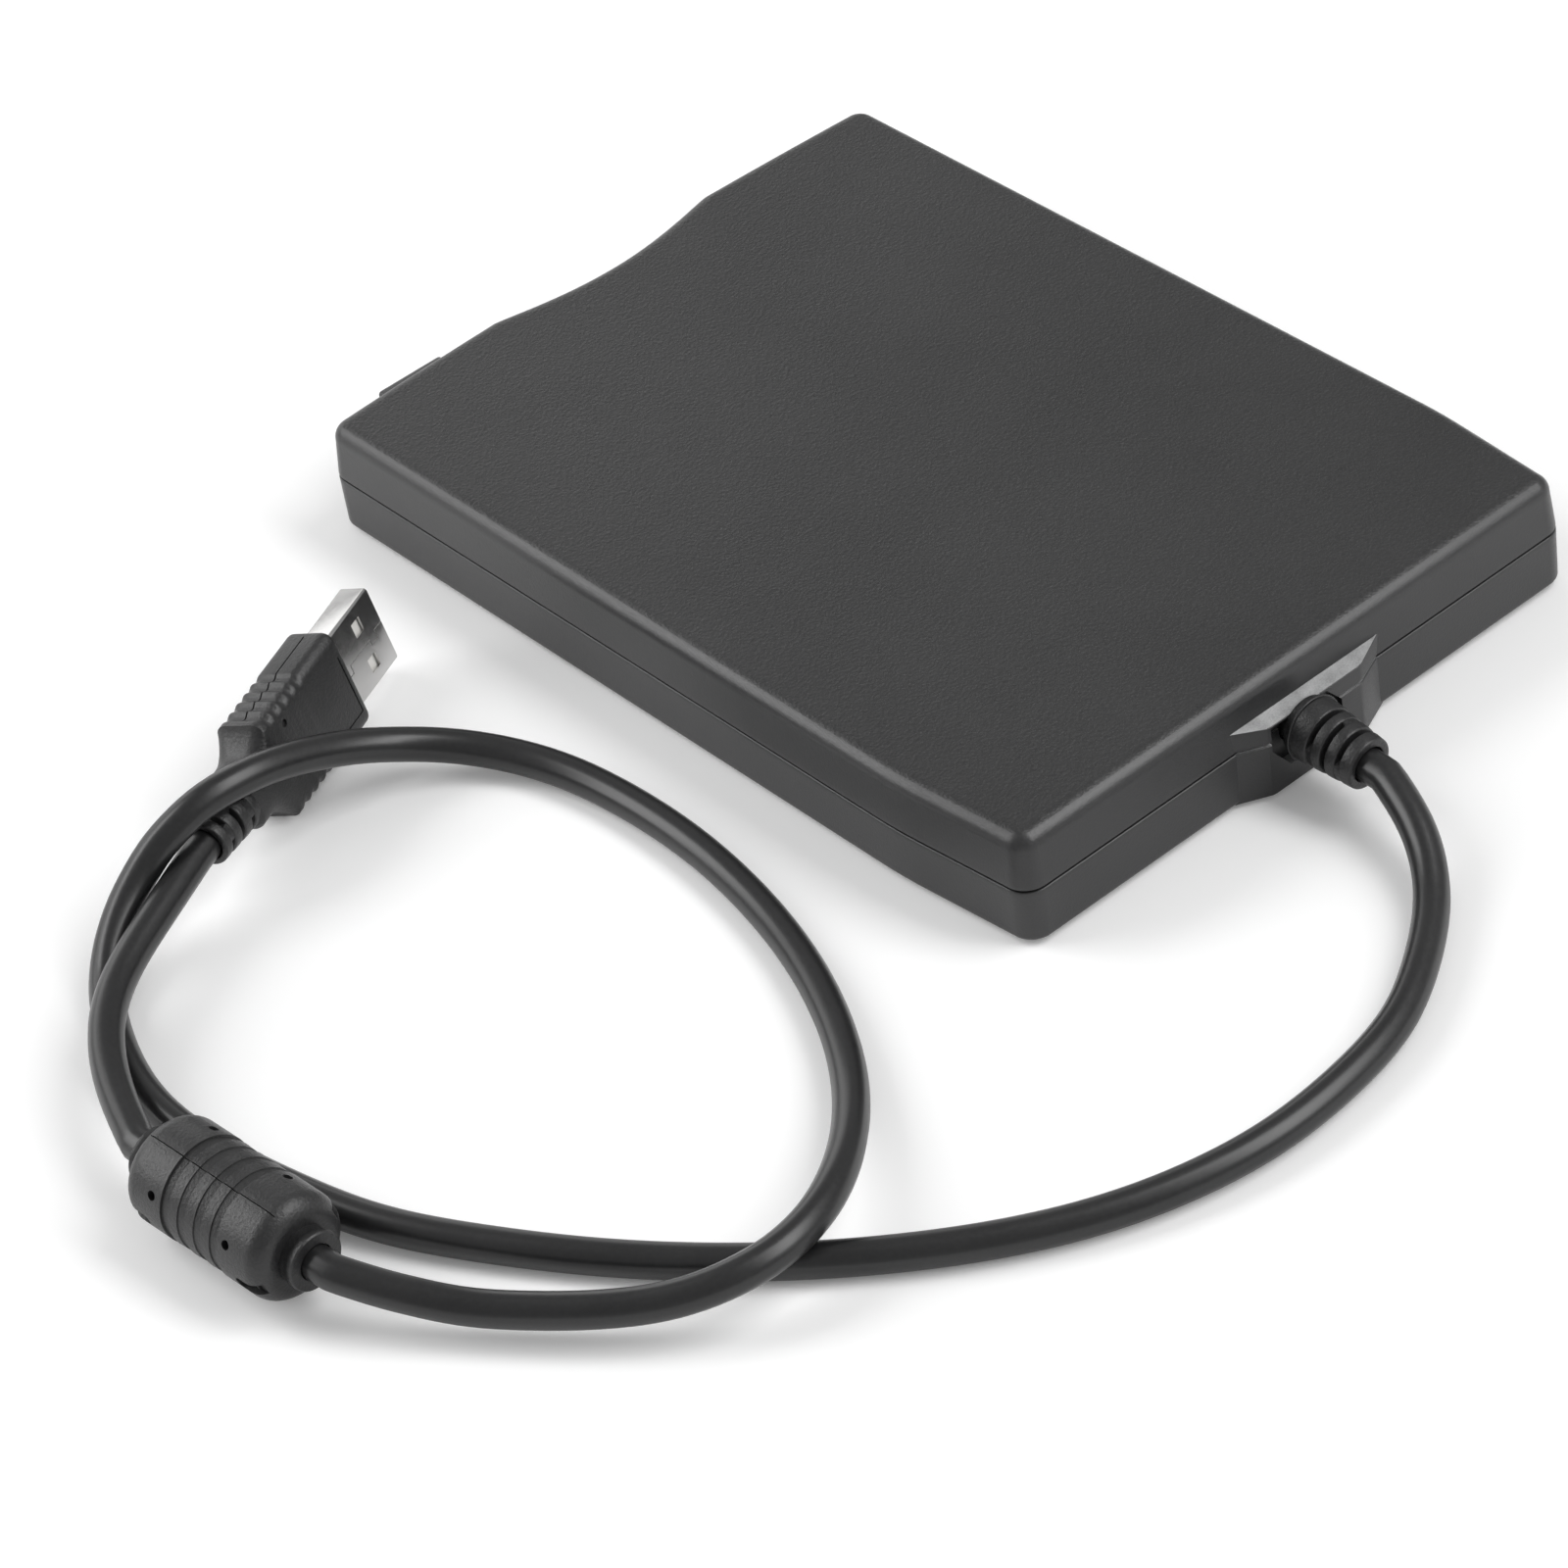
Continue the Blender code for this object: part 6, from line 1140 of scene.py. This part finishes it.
def bead():
    """The overmould: round shoulders, stepped bands, pin marks, slots and a split line."""
    middle, way = bead_line()
    half = BEAD_BODY_LENGTH / 2
    marks = []
    ridges = []
    for end in (-1, 1):
        for angle in HOLE_TURNS:
            outward = Matrix.Translation((BEAD_RADIUS - HOLE_DEPTH, 0.0, end * HOLE_FROM_MIDDLE))
            outward = outward @ Matrix.Rotation(math.pi / 2, 4, "Y")
            hole = rod((0.0, 0.0), HOLE_RADIUS, 0.0, HOLE_DEPTH + OVERRUN, steps=24)
            marks.append(move(hole, Matrix.Rotation(math.radians(angle), 4, "Z") @ outward))
        for angle in (0.0, 180.0):
            turn = Matrix.Rotation(math.radians(angle), 4, "Z")
            centre = (0.0, end * (half - NOTCH_LENGTH / 2 + NOTCH_WIDTH / 2))
            size = (NOTCH_WIDTH, NOTCH_LENGTH + NOTCH_WIDTH)
            outline = rounded_rectangle(centre, size, NOTCH_WIDTH * NOTCH_ROUND_SHARE)
            marks.append(move(prism(outline, BEAD_RADIUS - NOTCH_DEPTH, BEAD_RADIUS + OVERRUN, "X"), turn))
            for i in range(3):
                height = end * (half - NOTCH_LENGTH + (i + 1) * RIDGE_PITCH)
                place = (BEAD_RADIUS - NOTCH_DEPTH + RIDGE_SIZE[0] / 3, 0.0, height)
                ridges.append(move(block_at(place, RIDGE_SIZE), turn))
    mesh = cut(mesh_of("bead", turned(bead_profile(), FINE_STEPS)), join(*marks))
    mesh = fuse(mesh, join(*ridges))
    size = (SPLIT_WIDTH, 3 * BAND_DROP, BEAD_BODY_LENGTH - BEAD_ROUND)
    split = [block_at((0.0, side * BEAD_RADIUS, 0.0), size) for side in (-1, 1)]
    mesh = cut(mesh, join(*split))
    place = along(middle, way) @ Matrix.Rotation(math.radians(BEAD_TURN), 4, "Z")
    return piece("bead_overmould", mesh, "moulded_pvc", "ferrite_overmold", place=place)


GRIP_RIBS = 5
GRIP_PITCH = 0.0021
GRIP_DEPTH = 0.00045
GRIP_START = 0.0094
GRIP_STEPS = 10
LINE_WIDTH = 0.00024
LINE_DEPTH = 0.00018
PANEL_LINE_SHARES = [((-0.07, -0.065), (1.18, 0.0)), ((-0.66, -0.27), (0.0, 0.41))]
DIMPLE_SHARES = (0.30, -0.20)
DIMPLE_HEIGHT_SHARE = 0.79
DIMPLE_DEPTH = 0.00035
PLUG_NOSE = 0.0009
NECK_BLOCK_WIDTH = 0.0088
NECK_BLOCK_THICKNESS = 0.0078
NECK_TAPER = 0.0044
NECK_BLOCK_LENGTH = 0.0030
DIMPLE_RADIUS = 0.00055


def plug_ring(size, radius, height):
    return [(x, y, height) for x, y in rounded_rectangle((0.0, 0.0), size, radius, 8)]


def grip_depth(height):
    """How far the narrow sides sink in at a height, in soft waves along the grip."""
    along_grip = -height - GRIP_START
    if along_grip < 0.0 or along_grip > GRIP_RIBS * GRIP_PITCH:
        return 0.0
    wave = 0.5 - 0.5 * math.cos(2 * math.pi * along_grip / GRIP_PITCH)
    return GRIP_DEPTH * wave ** 0.7


def plug_rings():
    """Sections of the mould from its tail end over the neck block, the taper and the grip to its nose."""
    block_size = (NECK_BLOCK_THICKNESS, NECK_BLOCK_WIDTH)
    tail = -PLUG_LENGTH - NECK_TAPER - NECK_BLOCK_LENGTH
    lip = 0.0006
    rings = []
    for share in (0.0, 0.3, 0.7, 1.0):
        shrink = 2 * lip * (1.0 - math.sin(math.pi / 2 * share))
        ring_size = (block_size[0] - shrink, block_size[1] - shrink)
        rings.append(plug_ring(ring_size, block_size[0] * 0.36 - shrink / 2, tail + lip * share))
    for i in range(15):
        share = i / 14
        sweep = 1.0 - math.cos(math.radians(90.0 * share)) ** 0.8
        sides = zip(block_size, (PLUG_THICKNESS, PLUG_WIDTH))
        size = [narrow + (wide - narrow) * sweep for narrow, wide in sides]
        radius = block_size[0] * 0.36 * (1.0 - sweep) + PLUG_CORNER * sweep
        rings.append(plug_ring(size, radius, -PLUG_LENGTH - NECK_TAPER * (1.0 - share)))
    grip_end = GRIP_START + GRIP_RIBS * GRIP_PITCH
    heights = [-PLUG_LENGTH + SUPPORT]
    heights += even_steps(-grip_end, -GRIP_START, GRIP_RIBS * GRIP_STEPS)
    heights += [-GRIP_START, -PLUG_NOSE - SUPPORT]
    for height in heights:
        rings.append(plug_ring((PLUG_THICKNESS, PLUG_WIDTH - 2 * grip_depth(height)), PLUG_CORNER, height))
    for angle in (0.0, 22.5, 45.0, 67.5, 90.0):
        turn = math.radians(angle)
        shrink = 2 * PLUG_NOSE * (1.0 - math.cos(turn))
        ring_size = (PLUG_THICKNESS - shrink, PLUG_WIDTH - shrink)
        rings.append(plug_ring(ring_size, PLUG_CORNER - shrink / 2, -PLUG_NOSE * (1.0 - math.sin(turn))))
    return rings


def plug_body():
    place = plug_frame()
    neck_end = -PLUG_LENGTH - NECK_TAPER - NECK_BLOCK_LENGTH
    tail_place = Matrix.Translation((0.0, 0.0, neck_end)) @ Matrix.Rotation(math.pi, 4, "X")
    tail_length = PLUG_NECK_LENGTH + PLUG_TAIL_LENGTH - NECK_TAPER - NECK_BLOCK_LENGTH
    radii = (PLUG_TAIL_RADIUS, PLUG_TAIL_END_RADIUS)
    tail = slotted_sleeve("tail", *radii, tail_length, TAIL_GROOVES, tail_place)
    body = mesh_of("mould", lofted(plug_rings()))
    shape = bmesh.new()
    shape.from_mesh(tail)
    mesh = fuse(body, shape)
    half = PLUG_THICKNESS / 2
    edge = PLUG_WIDTH / 2
    marks = []
    for side in (-1, 1):
        size = (LINE_WIDTH, 3 * GRIP_DEPTH, PLUG_LENGTH - 3 * PLUG_NOSE)
        marks.append(block_at((0.0, side * edge, -PLUG_LENGTH / 2), size))
        face = side * half
        for (y, z), (wide, long) in PANEL_LINE_SHARES:
            size = (2 * LINE_DEPTH, edge * wide or LINE_WIDTH, PLUG_LENGTH * long or LINE_WIDTH)
            marks.append(block_at((face, edge * y, PLUG_LENGTH * z), size))
        for y in DIMPLE_SHARES:
            centre = (y * PLUG_WIDTH, -PLUG_LENGTH * DIMPLE_HEIGHT_SHARE)
            marks.append(rod(centre, DIMPLE_RADIUS, face - DIMPLE_DEPTH, face + DIMPLE_DEPTH, "X", 24))
    for mark in marks:
        mesh = cut(mesh, mark)
    room_x = SHELL_HEIGHT / 2 + GAP
    room_y = SHELL_WIDTH / 2 + GAP
    mesh = cut(mesh, block((-room_x, -room_y, -SHELL_ROOT - GAP), (room_x, room_y, OVERRUN)))
    return piece("plug_mould", mesh, "moulded_pvc", "plug_body", place=place)


SEAM_SIDE = -1
SEAM_HALF = 0.00010
SHELL_CORNER = 0.0005
SHELL_EDGE = 0.00012
INSERT_BEVEL = 0.0004
CONTACT_PLACES = (-0.0035, -0.001, 0.001, 0.0035)
CONTACT_HALF = 0.0005
CONTACT_ROOM = 0.0001
CONTACT_SLOT = 0.0003
CONTACT_SUNK = 0.00005
CONTACT_SETBACK = 0.0014
SHELL_SEAM = [
    (-0.0004, -0.0006), (-0.0004, 0.0006), (-0.0013, 0.0006), (-0.0013, 0.0021), (0.0, 0.0021),
    (0.0, 0.0079), (-0.0009, 0.0079), (-0.0009, 0.0096), (0.0004, 0.0096), (0.0004, 0.0120),
]


def plug_shell():
    """The folded metal tube with its windows and dovetailed seam, and the tongue with its contacts."""
    place = plug_frame()
    corner = SHELL_CORNER
    size = (SHELL_HEIGHT, SHELL_WIDTH)
    inside = (SHELL_HEIGHT - 2 * SHELL_SHEET, SHELL_WIDTH - 2 * SHELL_SHEET)
    edge = SHELL_EDGE
    rings = [plug_ring(size, corner, -SHELL_ROOT), plug_ring(size, corner, SHELL_LENGTH - edge)]
    rings.append(plug_ring((size[0] - edge, size[1] - edge), corner, SHELL_LENGTH))
    ends = (-SHELL_ROOT + SHELL_SHEET, SHELL_LENGTH + OVERRUN)
    room = [plug_ring(inside, corner - SHELL_SHEET / 2, height) for height in ends]
    mesh = cut(lofted(rings), lofted(room))
    windows = []
    for side in (-1, 1):
        centre = (0.0, side * SHELL_WINDOW_SIDE, SHELL_LENGTH - SHELL_WINDOW_FROM_TIP)
        windows.append(block_at(centre, (SHELL_HEIGHT + OVERRUN, SHELL_WINDOW, SHELL_WINDOW)))
    mesh = cut(mesh, join(*windows))
    face = SEAM_SIDE * SHELL_HEIGHT / 2
    for (y0, z0), (y1, z1) in zip(SHELL_SEAM, SHELL_SEAM[1:]):
        low = (face - SHELL_SHEET / 2, min(y0, y1) - SEAM_HALF, min(z0, z1) - SEAM_HALF)
        high = (face + SHELL_SHEET / 2, max(y0, y1) + SEAM_HALF, max(z0, z1) + SEAM_HALF)
        mesh = cut(mesh, block(low, high))
    piece("plug_tube", mesh, "plug_metal", "plug_shell", place=place)
    wall = -SHELL_HEIGHT / 2 + SHELL_SHEET + GAP
    y = SHELL_WIDTH / 2 - SHELL_SHEET - GAP
    tip = SHELL_LENGTH - INSERT_SETBACK
    low = -SHELL_ROOT + SHELL_SHEET + GAP
    top = wall + INSERT_THICKNESS
    outline = [(wall, low), (top, low), (top, tip - INSERT_BEVEL), (top - INSERT_BEVEL, tip), (wall, tip)]
    tongue = lofted([[(x, side, z) for x, z in outline] for side in (-y, y)])
    slots = []
    contacts = []
    for middle in CONTACT_PLACES:
        edge = CONTACT_HALF + CONTACT_ROOM
        end = tip - CONTACT_SETBACK + 2 * CONTACT_ROOM
        slots.append(block((top - CONTACT_SLOT, middle - edge, low), (top + OVERRUN, middle + edge, end)))
        start = (top - CONTACT_SLOT + CONTACT_SUNK, middle - CONTACT_HALF, 0.0)
        contacts.append(block(start, (top - CONTACT_SUNK, middle + CONTACT_HALF, tip - CONTACT_SETBACK)))
    tongue = cut(tongue, join(*slots))
    piece("plug_tongue", tongue, "ivory_plastic", "plug_insert", place=place)
    piece("plug_contacts", join(*contacts), "gold_contact", None, place=place)


# Stage, light and camera

FLOOR_SIZE = 3.0
FLOOR_DEPTH = 0.01
FLOOR_COLOUR = (0.93, 0.93, 0.93, 1.0)
FLOOR_ROUGHNESS = 0.9
WHITE = (1.0, 1.0, 1.0, 1.0)


def stage():
    material = bpy.data.materials.new("floor")
    material.use_nodes = True
    tree = material.node_tree
    shader = tree.nodes["Principled BSDF"]
    shader.inputs["Base Color"].default_value = FLOOR_COLOUR
    shader.inputs["Roughness"].default_value = FLOOR_ROUGHNESS
    shader.inputs["Specular IOR Level"].default_value = 0.0
    shader.inputs["Emission Color"].default_value = WHITE
    rays = tree.nodes.new("ShaderNodeLightPath")
    seen = rays.outputs["Is Camera Ray"]
    for ray in ("Is Glossy Ray", "Is Transmission Ray"):
        either = tree.nodes.new("ShaderNodeMath")
        either.operation = "MAXIMUM"
        tree.links.new(seen, either.inputs[0])
        tree.links.new(rays.outputs[ray], either.inputs[1])
        seen = either.outputs["Value"]
    glow = tree.nodes.new("ShaderNodeMath")
    glow.operation = "MULTIPLY"
    glow.inputs[1].default_value = FLOOR_GLOW
    tree.links.new(seen, glow.inputs[0])
    tree.links.new(glow.outputs["Value"], shader.inputs["Emission Strength"])
    slab = block((-FLOOR_SIZE, -FLOOR_SIZE, -FLOOR_DEPTH), (FLOOR_SIZE, FLOOR_SIZE, 0.0))
    floor = scene_object("floor", mesh_of("floor", slab))
    floor.data.materials.append(material)
    world = bpy.data.worlds.new("studio")
    world.use_nodes = True
    sky = world.node_tree.nodes["Background"]
    sky.inputs["Color"].default_value = WHITE
    sky.inputs["Strength"].default_value = WORLD_LIGHT
    bpy.context.scene.world = world


def lamp(name, place, lie, size, power, colours=True):
    """A soft box that faces the object, its long side along a direction.

    One that doesn't light the colours shows only as a highlight.
    """
    data = bpy.data.lights.new(name, "AREA")
    data.shape = "RECTANGLE"
    data.size, data.size_y = size
    data.energy = power
    away = (Vector(place) - Vector(CAMERA_AIM)).normalized()
    long_side = Vector(lie)
    long_side = (long_side - away * long_side.dot(away)).normalized()
    turn = Matrix((long_side, away.cross(long_side), away)).transposed().to_4x4()
    thing = bpy.data.objects.new(name, data)
    thing.matrix_world = Matrix.Translation(place) @ turn
    thing.visible_diffuse = colours
    bpy.context.scene.collection.objects.link(thing)


def camera():
    data = bpy.data.cameras.new("photo")
    data.lens = CAMERA_LENS
    data.sensor_width = SENSOR_WIDTH
    thing = bpy.data.objects.new("photo", data)
    way = Vector(CAMERA_AIM) - Vector(CAMERA_PLACE)
    turn = way.to_track_quat("-Z", "Y").to_matrix().to_4x4()
    roll = Matrix.Rotation(math.radians(CAMERA_ROLL), 4, "Z")
    thing.matrix_world = Matrix.Translation(CAMERA_PLACE) @ turn @ roll
    bpy.context.scene.collection.objects.link(thing)
    bpy.context.scene.camera = thing
    bpy.context.scene.view_settings.view_transform = "Standard"


def build():
    dress_frame()
    upper_shell()
    lower_shell()
    door_flap()
    front_button()
    front_lens()
    feet_and_screws()
    relief_sleeve()
    bead_piece = bead()
    plug_piece = plug_body()
    plug_shell()
    cords()
    stage()
    for facts in LAMPS:
        lamp(**facts)
    camera()


build()
